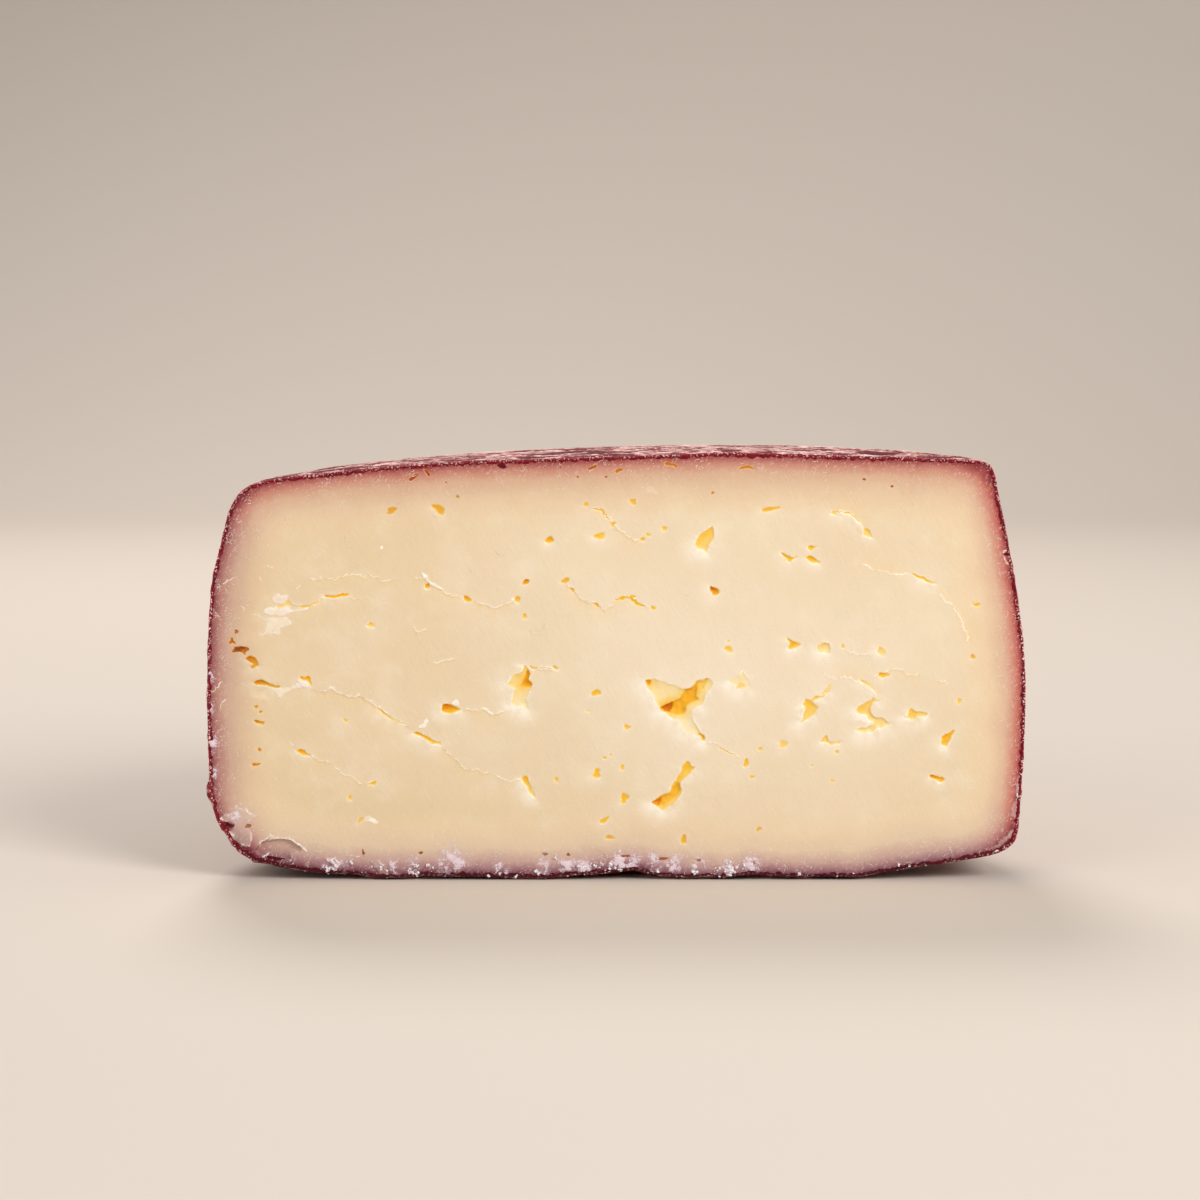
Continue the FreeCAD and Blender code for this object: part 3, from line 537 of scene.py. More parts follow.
# Cracks: how wide the gap may open, how far the face steps across it, the line.
# The side above the line (to its left when read in order) stands out by the step.
CRACKS = (
    # the ones that gape
    (0.4, 0.18, ((-11.8, 67), (-8.4, 63.3), (-7.1, 62), (-4.6, 61.5), (-2.5, 60.1), (-0.9, 61.1),
     (-0.4, 62.2), (1, 62.8), (3.3, 63), (4.6, 61.5), (8.1, 60.4))),
    (0.25, 0.1, ((-6.3, 82.5), (-3, 82.1), (-0.9, 79.6), (1.2, 77.1), (4.1, 75.2), (7, 76.4))),
    (0.12, 0.04, ((19.5, 31.1), (22.2, 30.5), (24.8, 28.6), (27.7, 27.1))),
    (0.22, 0.08, ((-19.3, 46.7), (-16, 47.2), (-12.9, 46.3))),
    # closed ones on the left and in the middle
    (0, 0.08, ((-67.3, 67.3), (-66.7, 66.5), (-66, 66.7), (-65, 66.5), (-64.1, 66.9), (-63.3, 67.2),
     (-62.4, 66.9), (-61.2, 66.7), (-60.7, 67.1), (-59.5, 67.4), (-58.4, 67.7), (-57.6, 67.9),
     (-56.5, 67.9), (-55.6, 67.6), (-54.8, 67.3), (-53.8, 67.7), (-52.7, 67.3), (-52, 67.1), (-51, 66.4),
     (-49.7, 66.4), (-48.6, 66.8), (-47.4, 66.9), (-46.7, 66.4))),
    (0, 0.14, ((-72.4, 62.3), (-70.9, 61.8), (-69.8, 61.2), (-69.1, 60.8), (-67.9, 60.7), (-66.8, 61.1),
     (-66, 61.5), (-65.1, 61.8), (-64.5, 62.5), (-63.7, 63))),
    (0, 0.08, ((-58.2, 63.3), (-57.7, 62.8), (-56.5, 62.5), (-55.4, 62.4), (-54.5, 62.9))),
    (0, 0.14, ((-45, 67.4), (-44, 67.2), (-42.9, 66.9), (-41.7, 66.9), (-41, 66.1), (-40.7, 65.7),
     (-39.9, 65.2), (-38.7, 64.8), (-37.6, 64), (-36.5, 63.4), (-35.3, 63), (-33.8, 62.7), (-33.3, 62.8))),
    (0, 0.12, ((-31.6, 62.2), (-30.8, 62.1), (-30, 61.6), (-28.9, 61.4), (-27.8, 61), (-26.3, 60.5),
     (-25.1, 61), (-24, 61.5), (-22.8, 62), (-22.1, 62.2))),
    (0, 0.03, ((-44.5, 56.4), (-43.7, 55.6), (-43, 55.4), (-41.8, 55.7), (-40.9, 55.6))),
    (0, 0.04, ((-40.5, 48.5), (-39.8, 48.4), (-39, 48.3), (-38.3, 48.6), (-37.3, 49.1), (-36.2, 49.1),
     (-35.4, 49.3), (-34.3, 49.1))),
    (0, 0.12, ((-18.9, 47.5), (-18.1, 47.1), (-17.2, 47.2), (-16.4, 47.6), (-15.3, 47.7), (-14.2, 47.5),
     (-13.6, 47.2), (-12.6, 46.8))),
    (0, 0.2, ((-66.7, 43.5), (-66, 42.3), (-65.1, 42), (-64.2, 42.1), (-63.2, 42.3), (-62.5, 42.9),
     (-62.3, 42.5), (-61.6, 42.2), (-60, 41.6), (-58.6, 41), (-57.4, 40.7), (-56.2, 41.2), (-55.1, 40.6),
     (-53.9, 39.9), (-53, 39.2), (-52.5, 38.5), (-51.3, 37.8), (-50.2, 36.8), (-49, 36), (-47.9, 35.5),
     (-46.7, 35), (-45.8, 34.5), (-44.4, 33.9), (-43.4, 33.8))),
    (0, 0.12, ((-38.5, 30.6), (-37.4, 29.1), (-36.4, 27.9), (-35.3, 27.2), (-34.3, 26), (-33.4, 25),
     (-32, 24.8), (-30.6, 24.8), (-29.6, 24.3), (-28.2, 24.1), (-26.8, 23.5))),
    (0, 0.03, ((-26.8, 23.5), (-25.2, 22.7), (-23.8, 22.2), (-22.1, 22.3), (-20.5, 22.6))),
    (0, 0.02, ((-71.7, 31.3), (-71.3, 30.2), (-70.2, 29.3))),
    (0, 0.14, ((-68.3, 28.1), (-66.4, 27.3), (-64.8, 26.9), (-63.2, 26.5), (-62.5, 25.7))),
    (0, 0.06, ((-62.5, 25.7), (-61.3, 24.8), (-59.7, 23.6), (-58.3, 23.1), (-57.1, 22.2), (-55.9, 21.6),
     (-54.5, 21.8), (-52.9, 21.7), (-52.2, 21.5))),
    (0, 0.12, ((-34, 38), (-32.9, 38), (-31.7, 38.2), (-30.5, 37.8), (-29.1, 38.3), (-28.4, 38),
     (-27.7, 37.3), (-27, 36.9), (-26.3, 37.1), (-25.6, 37.4), (-24.4, 37.8), (-23.4, 38.3))),
    # closed ones on the right
    (0, 0.1, ((64.4, 67.9), (62.9, 67.9), (61.6, 67.8), (60.4, 67.8), (59.5, 68.2), (58.7, 68.6),
     (58, 68.4), (56.9, 68.7), (56, 69.1), (55.2, 69.5), (54.4, 69.8), (53.6, 69.9), (53, 70))),
    (0, 0.08, ((77.6, 52.1), (77, 53), (77, 54.1), (76.2, 55.8), (75.9, 57.2), (75.4, 58.1), (74.6, 59.2),
     (74.2, 60.1), (73.4, 61.1), (72.8, 61.8), (72.2, 61.7), (71.6, 62.1), (71.4, 62.8), (70.9, 63.5),
     (70, 63.9), (69.7, 64.3))),
    (0, 0.08, ((55.6, 45.1), (57.3, 45.6), (58.8, 46.2), (60, 46.8), (60.6, 47), (61.4, 47.2), (62.2, 46.8),
     (63, 46.5), (63.4, 46), (64.7, 45.7), (65.6, 45.3), (66.3, 46), (67.1, 46))),
    (0, 0.04, ((69.4, 44.6), (70.4, 44.4), (71.1, 44.5), (72.1, 44.2), (72.6, 43.6), (72.1, 43.2))),
    (0, 0.14, ((57.9, 40.7), (57.1, 41.5), (56.2, 42.3), (55.4, 42.9), (54.5, 43.4), (53.6, 44),
     (52.7, 44.3), (51.4, 44.8), (50.2, 45.3), (49.7, 45.4), (49.3, 44.8), (48.3, 44.5))),
    (0, 0.02, ((45.2, 45.5), (46.3, 45.3), (47.4, 44.9), (48.4, 44.5))),
    (0, 0.02, ((49.8, 51.6), (50.7, 50.8), (52.6, 50.3), (55.1, 50.3), (57.1, 50.3))),
    (0, 0.16, ((53.3, 76.8), (53.5, 77.3), (53.7, 77.8), (53.4, 78.4), (53.1, 78.9), (52.5, 79.4),
     (51.7, 80.1), (51.1, 80.8), (50.5, 81.2), (49.7, 81.1), (49.1, 81.4), (48.6, 81.3), (48.2, 81.5),
     (47.4, 81.4), (46.6, 81.4))),
    # scratches near the left wall
    (0, 0.02, ((-87.8, 64.2), (-86.8, 65.2), (-85.6, 65.9), (-84.4, 66.6), (-82.7, 67.7))),
    (0, 0.02, ((-88.3, 60.3), (-87.5, 59.6), (-86.7, 58.6), (-86, 57.5))),
    (0, 0.02, ((-85.8, 59.4), (-85.2, 60.2), (-84.4, 60.9))),
    (0, 0.02, ((-76.4, 70), (-75.7, 69.4), (-74.7, 68.9))),
    (0, 0.02, ((-77.9, 67.4), (-77.4, 66.3), (-76.9, 65.8), (-76.4, 65))),
    (0, 0.02, ((-67.4, 67.3), (-66.4, 66.6), (-65.1, 66.8), (-64.1, 67.3), (-63.1, 67.3))),
    (0, 0.02, ((-69.7, 64.1), (-69.3, 64.9), (-68.6, 65.4))),
    (0, 0.02, ((-89.4, 41.7), (-88.1, 42.4), (-87.1, 43.4), (-86.1, 44.4))),
    (0, 0.02, ((-87.1, 37.9), (-86.6, 39.2), (-85.7, 40.6))),
    (0, 0.02, ((-82.6, 61.2), (-81.8, 60.7), (-80.9, 59.7))),
)

# Patches that were lifted, torn or smeared: height, white, lilac, wine, softness of
# the outline in mm, and the outline.
PATCHES = (
    # flakes and torn lips along the cracks
    (0.05, 0.8, 0, 0, 0.1, ((-75, 62.1), (-74.9, 63.2), (-74.1, 63.7), (-73.5, 63.4), (-73, 63.1),
     (-72, 63.5), (-71.5, 63.1), (-72, 62.2), (-72.3, 61.4), (-72.8, 61.3), (-73.8, 61.4), (-74.5, 61.4),
     (-74.8, 61.6))),
    (0.08, 0.95, 0, 0, 0.1, ((-77.3, 59.4), (-76.7, 60.3), (-75.7, 60.5), (-74.8, 60.4), (-73.8, 60.1),
     (-73.2, 60.3), (-72.5, 60.6), (-71.7, 60.5), (-71.2, 60.1), (-70.7, 59.9), (-69.8, 60.1),
     (-68.5, 60.2), (-67.8, 60.5), (-67.2, 60.3), (-67.8, 59.7), (-68.8, 59.7), (-70.2, 59.6),
     (-71.2, 59.4), (-72.2, 59.2), (-72.4, 58.8), (-73.2, 58.7), (-74.2, 58.9), (-74.8, 59.1),
     (-75.5, 58.8), (-76.5, 59.2))),
    (0.05, 0.75, 0, 0, 0.1, ((-79.7, 59), (-79.2, 59.1), (-78.3, 58.9), (-77.5, 58.4), (-76.7, 58),
     (-75.9, 58.3), (-75.2, 58.5), (-74.5, 58.1), (-73.5, 58.3), (-72.5, 58.4), (-71.9, 58.6), (-71.5, 58),
     (-70.6, 57), (-71.2, 56.7), (-71.9, 56.7), (-72.5, 56.2), (-73.6, 55.9), (-73.2, 54.7), (-73.9, 54.5),
     (-74.7, 54.9), (-75.6, 54.5), (-76.2, 54.9), (-77.2, 54.2), (-78.1, 54.3), (-78.4, 54.9), (-78.1, 55),
     (-77.4, 54.7), (-76.9, 55.2), (-76.7, 55.9), (-76.4, 56.7), (-76.7, 57.5), (-77.5, 58.1),
     (-78.5, 58.6))),
    (0.08, 0.8, 0, 0, 0.1, ((-75.5, 42.9), (-74.4, 41.2), (-74, 40.5), (-73.4, 41), (-72, 41.9),
     (-70.9, 42.6), (-69.7, 42.8), (-68.4, 42.8), (-67.6, 43.2), (-67.8, 43.9), (-68.4, 44.3),
     (-69.2, 44.6), (-69.6, 44.9), (-69.9, 44.4), (-69.5, 44.1), (-70, 43.7), (-71.4, 42.9), (-73.4, 42.8),
     (-75, 43))),
    (-0.3, 0, 0, 0, 1.2, ((-80.2, 41.4), (-79.2, 42.9), (-76.9, 43.3), (-75.9, 42.8), (-75.6, 41.7),
     (-76.3, 40.2), (-78.4, 40.3), (-79.7, 40.7))),
    (0.02, 0.3, 0, 0, 0.3, ((6.4, 86.7), (8, 87.1), (8.5, 86.3), (9.5, 85.3), (8.5, 85.1), (7.2, 85.5),
     (6.2, 85.7))),
    (0.04, 0.5, 0, 0, 0.2, ((3.2, 84.4), (4.2, 84.5), (5, 83.6), (4, 83.3))),
    (0.05, 0.85, 0, 0, 0.1, ((-55.9, 13.7), (-55.3, 14.3), (-54.6, 14.4), (-54, 14.5), (-53.5, 13.8),
     (-53, 13.7), (-52.3, 12.7), (-52.8, 12.4), (-53.6, 12.7), (-54.5, 13.1), (-55.4, 13.1))),
    (0.1, 1, 0, 0, 0.1, ((-43.4, 34.1), (-42.7, 34.7), (-42.2, 35.1), (-42.1, 35.7), (-41.4, 35.9),
     (-41.1, 35.4), (-41.6, 34.7), (-41.5, 34.3), (-42.2, 33.9), (-43, 33.9))),
    (0.1, 1, 0, 0, 0.1, ((-69.8, 44.4), (-69.2, 44.5), (-68.7, 44.2), (-68.1, 44.3), (-67.6, 44),
     (-67.2, 43.4), (-67.5, 42.9), (-68.4, 42.9), (-69.1, 43.4))),
    (0.1, 0.9, 0, 0, 0.1, ((-36.2, 39.2), (-35.8, 39.9), (-35.1, 40.2), (-34.6, 40), (-34.4, 39.4),
     (-34.5, 38.8), (-35.1, 38.8), (-35.7, 38.9))),
    (0.1, 0.9, 0, 0, 0.1, ((-29.6, 38), (-28.9, 38.4), (-28.3, 38.2), (-27.6, 37.5), (-26.9, 37.1),
     (-27.3, 36.8), (-28, 37.1), (-28.7, 37.7))),
    (0.1, 0.9, 0, 0, 0.1, ((-42.7, 68.2), (-42.1, 68.1), (-41.2, 67.6), (-40.8, 66.7), (-40.5, 66.1),
     (-39.5, 65.7), (-38.7, 65.3), (-37.5, 64.3), (-38.7, 64.7), (-39.9, 65), (-40.7, 65.7), (-41.7, 66.7),
     (-42.3, 67.4))),
    (0.08, 0.8, 0, 0, 0.1, ((-22.9, 62.4), (-22.5, 62.8), (-22.2, 62.5), (-22.2, 62), (-22.6, 61.8))),
    (0.08, 0.8, 0, 0, 0.1, ((-51.6, 73.8), (-51.3, 74.1), (-50.8, 74), (-50.7, 73.6), (-51.1, 73.2),
     (-51.5, 73.3))),
    (0.06, 0.5, 0, 0, 0.5, ((-64.5, 63.4), (-63.3, 63.7), (-62.2, 64), (-61.3, 63.7), (-60.1, 63.7),
     (-60.9, 63.4), (-61.8, 63.3), (-62.8, 63.1), (-63.5, 63.4))),
    (0.06, 0.5, 0, 0, 0.5, ((-62.8, 62.5), (-61.7, 62.5), (-60.5, 62.6), (-59.9, 62.5), (-60.9, 62),
     (-61.8, 61.9), (-62.5, 62.1))),
    (0.05, 0.6, 0, 0, 0.5, ((67, 66), (67.8, 65.8), (68.6, 65.8), (70, 65.6), (69.7, 65), (69.2, 64.6),
     (68.3, 65), (67.3, 65.4))),
    (0.05, 0.5, 0, 0, 0.5, ((48.6, 81.3), (49.1, 81.3), (49.7, 81), (50.5, 81.1), (51.1, 80.7), (51.6, 80),
     (52.4, 79.3), (53, 78.8), (53.3, 78.4), (53.5, 77.8), (53.3, 77.4), (53.2, 77), (52.5, 77.5),
     (51.9, 78.7), (50.9, 79.7), (49.7, 80.3), (48.8, 80.8))),
    # a dark notch at the top edge
    (-0.5, 0, 0, 1, 0.15, ((-26.1, 91.4), (-25.4, 92.2), (-24.2, 92), (-23.8, 91), (-24.9, 90.7))),
    # the lower left corner: smeared paste, a notch of rind, torn lips and a hollow
    (0.07, 0.85, 0.4, 0, 0.3, ((-87.5, 13.7), (-86.7, 14.4), (-85.9, 14.9), (-84.9, 15.2), (-84, 15.5),
     (-84.1, 16.3), (-83.4, 17.2), (-82.8, 16.3), (-81.9, 16.1), (-81.2, 16.5), (-80.9, 15.5),
     (-79.7, 14.8), (-78.4, 14.3), (-79.8, 14.1), (-80.6, 13.2), (-80.6, 11.8), (-80.2, 10.7), (-79.9, 9.3),
     (-80.5, 7.6), (-81.6, 7.4), (-83, 8.2), (-84, 8.8), (-85.1, 9.1), (-85.7, 10.3), (-85.3, 10.9),
     (-84.4, 11.6), (-83.9, 12.6), (-85, 13.1), (-86.6, 13))),
    (-0.7, 0, 0, 0.95, 0.3, ((-87.4, 13), (-85.4, 13), (-83.7, 12.2), (-84.8, 11.4), (-86, 11.2),
     (-86.9, 12))),
    (0.2, 0.9, 0.6, 0, 0.15, ((-86.4, 11.1), (-85.6, 11.3), (-84.8, 10.6), (-84, 10.1), (-85, 9.6),
     (-85.6, 10.2))),
    (-0.8, 0, 0.1, 0.08, 0.5, ((-79.6, 6.7), (-78.8, 7.9), (-78, 8.7), (-77, 9.1), (-75.1, 9.3),
     (-73.2, 9.2), (-71.6, 9.1), (-70.6, 8.2), (-69, 7.2), (-69.3, 6.4), (-70.6, 6.1), (-71.9, 5.4),
     (-71.6, 4.8), (-73.8, 4.1), (-76.1, 4.5), (-77.4, 4.8), (-78.3, 5.1), (-79.3, 5.8))),
    (0.2, 0.95, 0.5, 0, 0.15, ((-79.4, 7.2), (-78.4, 8.9), (-77.1, 9.5), (-76.4, 10.3), (-75.3, 9.9),
     (-73.8, 9.5), (-72, 9.7), (-70.8, 8.8), (-69, 7.7), (-67.4, 6), (-69.4, 7), (-71.2, 8.7), (-73.3, 9.2),
     (-76.8, 9), (-78.2, 8.2))),
    (0.25, 0.9, 0.5, 0, 0.1, ((-78, 5.1), (-77.2, 5.9), (-75.4, 6.6), (-75.4, 6.3), (-77, 5.4),
     (-77.6, 4.8))),
    (0.2, 0.9, 0.6, 0, 0.1, ((-76.8, 3.7), (-75, 4.1), (-73.5, 3.6), (-75, 3.5))),
    (0.2, 0.8, 0.6, 0, 0.1, ((-69, 3.4), (-67.3, 4.8), (-67.8, 3))),
    (0.15, 0.85, 0.5, 0, 0.1, ((-64.4, 5.2), (-63, 4.8), (-61.4, 5.3), (-62.4, 4.2), (-63.4, 4.3))),
    (0.12, 0.8, 0.4, 0, 0.1, ((-59.7, 5.3), (-57, 5.5), (-54.9, 5.6), (-57, 5.1))),
    (0.3, 0.6, 0.8, 0, 0.2, ((-54.4, 4.3), (-52.2, 4.6), (-50.6, 2.6), (-50, 0.9), (-52.4, 1.8))),
    # the lower right corner: a pink smear, and thick rind below it
    (0.15, 0.35, 1, 0, 0.15, ((88.9, 23.7), (89.3, 23.4), (89.1, 21.9), (89.3, 20.6), (89.5, 19.2),
     (89.4, 17.8), (89.1, 16.5), (89, 14.6), (88.9, 13.2), (88.4, 11.6), (88.6, 10.5), (87.8, 10),
     (86.4, 9.1), (85.4, 8), (84.8, 7.2), (83.8, 7.4), (82.2, 6.7), (80.8, 6.7), (79.9, 5.9), (79.8, 6.3),
     (80.8, 7), (82.4, 7.2), (84, 8), (84.8, 9.1), (86.4, 10.2), (88, 12.4), (87.7, 13.8), (87.1, 14.3),
     (87, 15.9), (87.4, 17.3), (88.3, 18.4), (87.9, 20), (88.1, 21.9), (88.4, 23))),
    (0.25, 0, 0.1, 0.9, 0.2, ((79.5, 5.9), (81.1, 6.5), (82.7, 6.4), (84.3, 6.7), (85.4, 7.1), (86.7, 7.9),
     (88, 9.4), (88.7, 10.5), (90, 9.4), (88.1, 5), (84, 3), (81, 3), (80, 4.2))),
    # a nick in the rind of the right wall, with pale lips
    (0.2, 0.9, 0.6, 0, 0.1, ((83.9, 72.4), (84.3, 73), (85.5, 73.3), (86, 73.6), (86.2, 73), (85.2, 72.8),
     (84.5, 72.4))),
    (0.2, 0.9, 0.6, 0, 0.1, ((84.3, 72), (84.6, 71.8), (84.8, 71.2), (85.3, 70.8), (85.5, 70), (85.1, 70.2),
     (84.6, 70.9))),
    (-0.5, 0, 0, 1, 0.1, ((84.4, 72.2), (85.2, 72.5), (86.2, 72.8), (87.2, 72.3), (87.2, 71), (86, 71.4),
     (85.5, 71.8), (84.8, 71.9))),
)
# Where frost-white paste lies smeared along the foot: x, z, half width, half height.
FROST = (
    (-49, 3, 1.6, 2.2), (-45, 3.2, 1.4, 2), (-36, 4.4, 3, 3.2), (-26, 2.6, 2.4, 1.8), (-16, 3.4, 1.5, 2.2),
    (-11, 3, 2.4, 2), (-7, 3.2, 1.8, 1.8), (2, 4.2, 3.4, 1.9), (8.5, 3.8, 1.6, 2.4), (13, 3.6, 2.2, 1.8),
    (18, 3.4, 1.8, 2), (25, 3, 1.6, 1.6), (30, 3.6, 1.8, 2), (-62, 3.4, 2.5, 1.2), (-88.6, 45.5, 0.9, 1.6),
    (-88.9, 38, 0.7, 1.3), (-88.5, 30.5, 0.9, 2), (-88.3, 24, 0.8, 1.2), (-84, 14.5, 1.1, 1.4),
)


class Hole:
    """An eye or a gap in the cut face: a closed outline with a floor below it."""

    def __init__(self, outline, depth, wall, amber, brown, lip=1.0, slant=0.0):
        self.outline = np.asarray(outline, float)
        self.depth, self.wall, self.slant = depth, wall, slant
        self.amber, self.brown, self.lip = amber, brown, lip * max(0.0, 1 - 1.6 * brown)
        self.low = self.outline.min(axis=0)
        self.high = self.outline.max(axis=0)
        x, z = self.outline.T
        area = abs(np.sum(x * np.roll(z, -1) - z * np.roll(x, -1))) / 2
        self.narrow = float(np.clip((0.42 - area / length_of(self.outline, True)) / 0.15, 0, 1))

    def shaded_amber(self, points):
        """Amber at the points; when the hole slants, painted shade deepens it up and to the left, under the
        overhanging upper edge.
        """
        middle, half = (self.low + self.high) / 2, (self.high - self.low) / 2 + 0.1
        place = (points - middle) / half
        return self.amber * (1 + self.slant * np.clip(0.85 * place[:, 1] - 0.5 * place[:, 0], -1, 1))


def soften(outline, step, rough, seed, grow=0.0):
    """A drawn outline made finer, a little wider and a little ragged."""
    line = resample(outline, max(8, round(length_of(outline, True) / step)), closed=True)
    line = (np.roll(line, 1, axis=0) + 6 * line + np.roll(line, -1, axis=0)) / 8
    wobble = np.c_[field(line, 0.9, 2, seed), field(line, 0.9, 2, seed + 5.0)]
    return inset(line, -grow) + wobble * rough


def blob(width, height, turn, seed):
    """The outline of a small eye, never quite an ellipse."""
    dice = rng(seed)
    count = 14
    angle = np.arange(count) * 2 * math.pi / count
    bulge = 1 + 0.2 * np.sin(2 * angle + dice.uniform(0, 6)) + 0.16 * np.sin(3 * angle + dice.uniform(0, 6))
    bulge = bulge + dice.uniform(-0.14, 0.14, count)
    x, z = np.cos(angle) * width / 2 * bulge, np.sin(angle) * height / 2 * bulge
    turn = math.radians(turn)
    return np.c_[x * math.cos(turn) - z * math.sin(turn), x * math.sin(turn) + z * math.cos(turn)]


def jagged(n):
    """A crack's line with the small zigzags of a break, and the way across it."""
    line = CRACKS[n][2]
    line = resample(line, max(4, round(length_of(line) / CRACK_STEP)))
    along = np.gradient(line, axis=0)
    across = np.c_[-along[:, 1], along[:, 0]] / np.linalg.norm(along, axis=1, keepdims=True)
    zigzag = rng(300 + n).normal(0, 0.1, len(line)) + 0.25 * field(line, 1.7, 3, 300 + n)
    return line + across * zigzag[:, None], across


def gaps(n, line, across):
    """The golden gaps where a crack stands open: short lenses along its line."""
    width = CRACKS[n][0]
    if not width:
        return []
    opening = field(line, 2.6, 2, 303 + n) - 0.12 + 0.2 * width
    found, start = [], None
    for i in range(len(line) + 1):
        is_open = i < len(line) and opening[i] > 0 and 2 < i < len(line) - 3
        if is_open and start is None:
            start = i
        if not is_open and start is not None:
            if i - start >= 3:
                s = np.linspace(0, 1, i - start)
                lens = np.sqrt(4 * s * (1 - s) + 0.03)
                half = width * (0.15 + np.minimum(opening[start:i] * 2.2, 0.75)) * lens
                half = across[start:i] * half[:, None]
                middle = line[start:i] - across[start:i] * 0.2
                found.append(np.vstack([middle + half, (middle - half)[::-1]]))
            start = None
    return found


def list_holes():
    """All eyes and gaps; the first three eyes are the large ones that hold hollows."""
    holes = []
    for n, (depth, wall, amber, brown, outline) in enumerate(DRAWN_EYES):
        grow, slant = (0.0, 0.35) if n > 2 else (0.04, 0.7)
        outline = soften(outline, EYE_STEP, WOBBLE, n, grow)
        holes.append(Hole(outline, 0.8 * depth, wall, amber, brown, 1.0, slant))
    for n, (x, z, width, height, turn, depth, gold, brown) in enumerate(SMALL_EYES):
        outline = blob(width, height, turn, 100 + n) + (x, z)
        outline = soften(outline, SMALL_STEP, WOBBLE, 100 + n, -0.07)
        holes.append(Hole(outline, 0.2 * depth, 0.22, 0.75 * gold, brown, 0.55, 0.2))
    for n in range(len(CRACKS)):
        for outline in gaps(n, *jagged(n)):
            holes.append(Hole(outline, 0.2, 0.2, 0.62, 0.0, 0.3))
    for n, (depth, wall, amber, outline) in enumerate(HOLLOWS):
        outline = soften(outline, EYE_STEP, WOBBLE, 60 + n)
        holes.append(Hole(outline, depth, wall, amber, 0.0, 0.0))
    return holes


def ragged(outline, n, blur):
    """The torn outline of a patch."""
    return soften(outline, PATCH_STEP, 0.22 if blur < 1 else 0.1, 50 + n)


def grid(low, high, step, seed):
    """A triangular grid of points over a box, each moved a little."""
    rows = np.arange(low[1], high[1], step * 0.866)
    across = np.arange(low[0], high[0], step)
    x = across[None, :] + (np.arange(len(rows)) % 2)[:, None] * step / 2
    points = np.c_[x.ravel(), np.repeat(rows, len(across))]
    return points + rng(seed).uniform(-0.22, 0.22, points.shape) * step


def thin(points, fixed, gap):
    """Leave out the points that crowd the fixed ones."""
    far, _ = nearest(points, fixed)
    return points[far > gap]


def loose_points(rim, holes, openings):
    """Points of the face between its lines: finer near an opening and inside a hole."""
    fixed = np.vstack([rim, openings])
    low_corner, high_corner = rim.min(axis=0), rim.max(axis=0)
    plain = grid(low_corner, high_corner, FACE_STEP, 1)
    middle = grid(low_corner, high_corner, MID_STEP, 2)
    fine = grid(low_corner, high_corner, FINE_STEP, 3)
    middle = middle[nearest(middle, fixed)[0] < 1.7]
    fine = fine[nearest(fine, openings)[0] < 0.62]
    pit_points = np.zeros(len(fine), bool)
    for hole in holes:
        close = near(fine, hole.outline, 0.0)
        pit_points[close] |= inside(fine[close], hole.outline)
    fine = fine[pit_points | (nearest(fine, openings)[0] < 0.4)]
    fine = thin(fine, fixed, 0.5 * FINE_STEP)
    middle = thin(middle, np.vstack([fixed, fine]), 0.62 * MID_STEP)
    plain = thin(plain, np.vstack([fixed, fine, middle]), 0.62 * FACE_STEP)
    loose = np.vstack([fine, middle, plain])
    return loose[inside(loose, rim)]


def lay_out(rim, holes):
    """The points and triangles of the cut face, and which points lie on its rim."""
    torn_lines = [ragged(p[5], n, p[4]) for n, p in enumerate(PATCHES)]
    cracks = [jagged(n)[0] for n in range(len(CRACKS))]
    chains = [(h.outline, 0) for h in holes] + [(t, 0) for t in torn_lines] + [(c, 1) for c in cracks]
    loose = loose_points(rim, holes, np.vstack([c[0] for c in chains]))
    points, edges, start = [rim], [], len(rim)
    for line, is_open in chains:
        stays = inside(line, rim) & (nearest(line, rim)[0] > 0.12)
        index = start - 1 + np.cumsum(stays)
        for i in range(len(line) - is_open):
            k = (i + 1) % len(line)
            if stays[i] and stays[k]:
                edges.append((int(index[i]), int(index[k])))
        points.append(line[stays])
        start += int(stays.sum())
    points.append(loose)
    ring = list(range(len(rim)))
    flat = [Vector(p) for p in np.vstack(points)]
    out = geometry.delaunay_2d_cdt(flat, edges, [ring], 1, 1e-5)
    where = {}
    for new, olds in enumerate(out[3]):
        for old in olds:
            where.setdefault(old, new)
    return np.array([tuple(v) for v in out[0]]), out[2], [where[i] for i in ring]


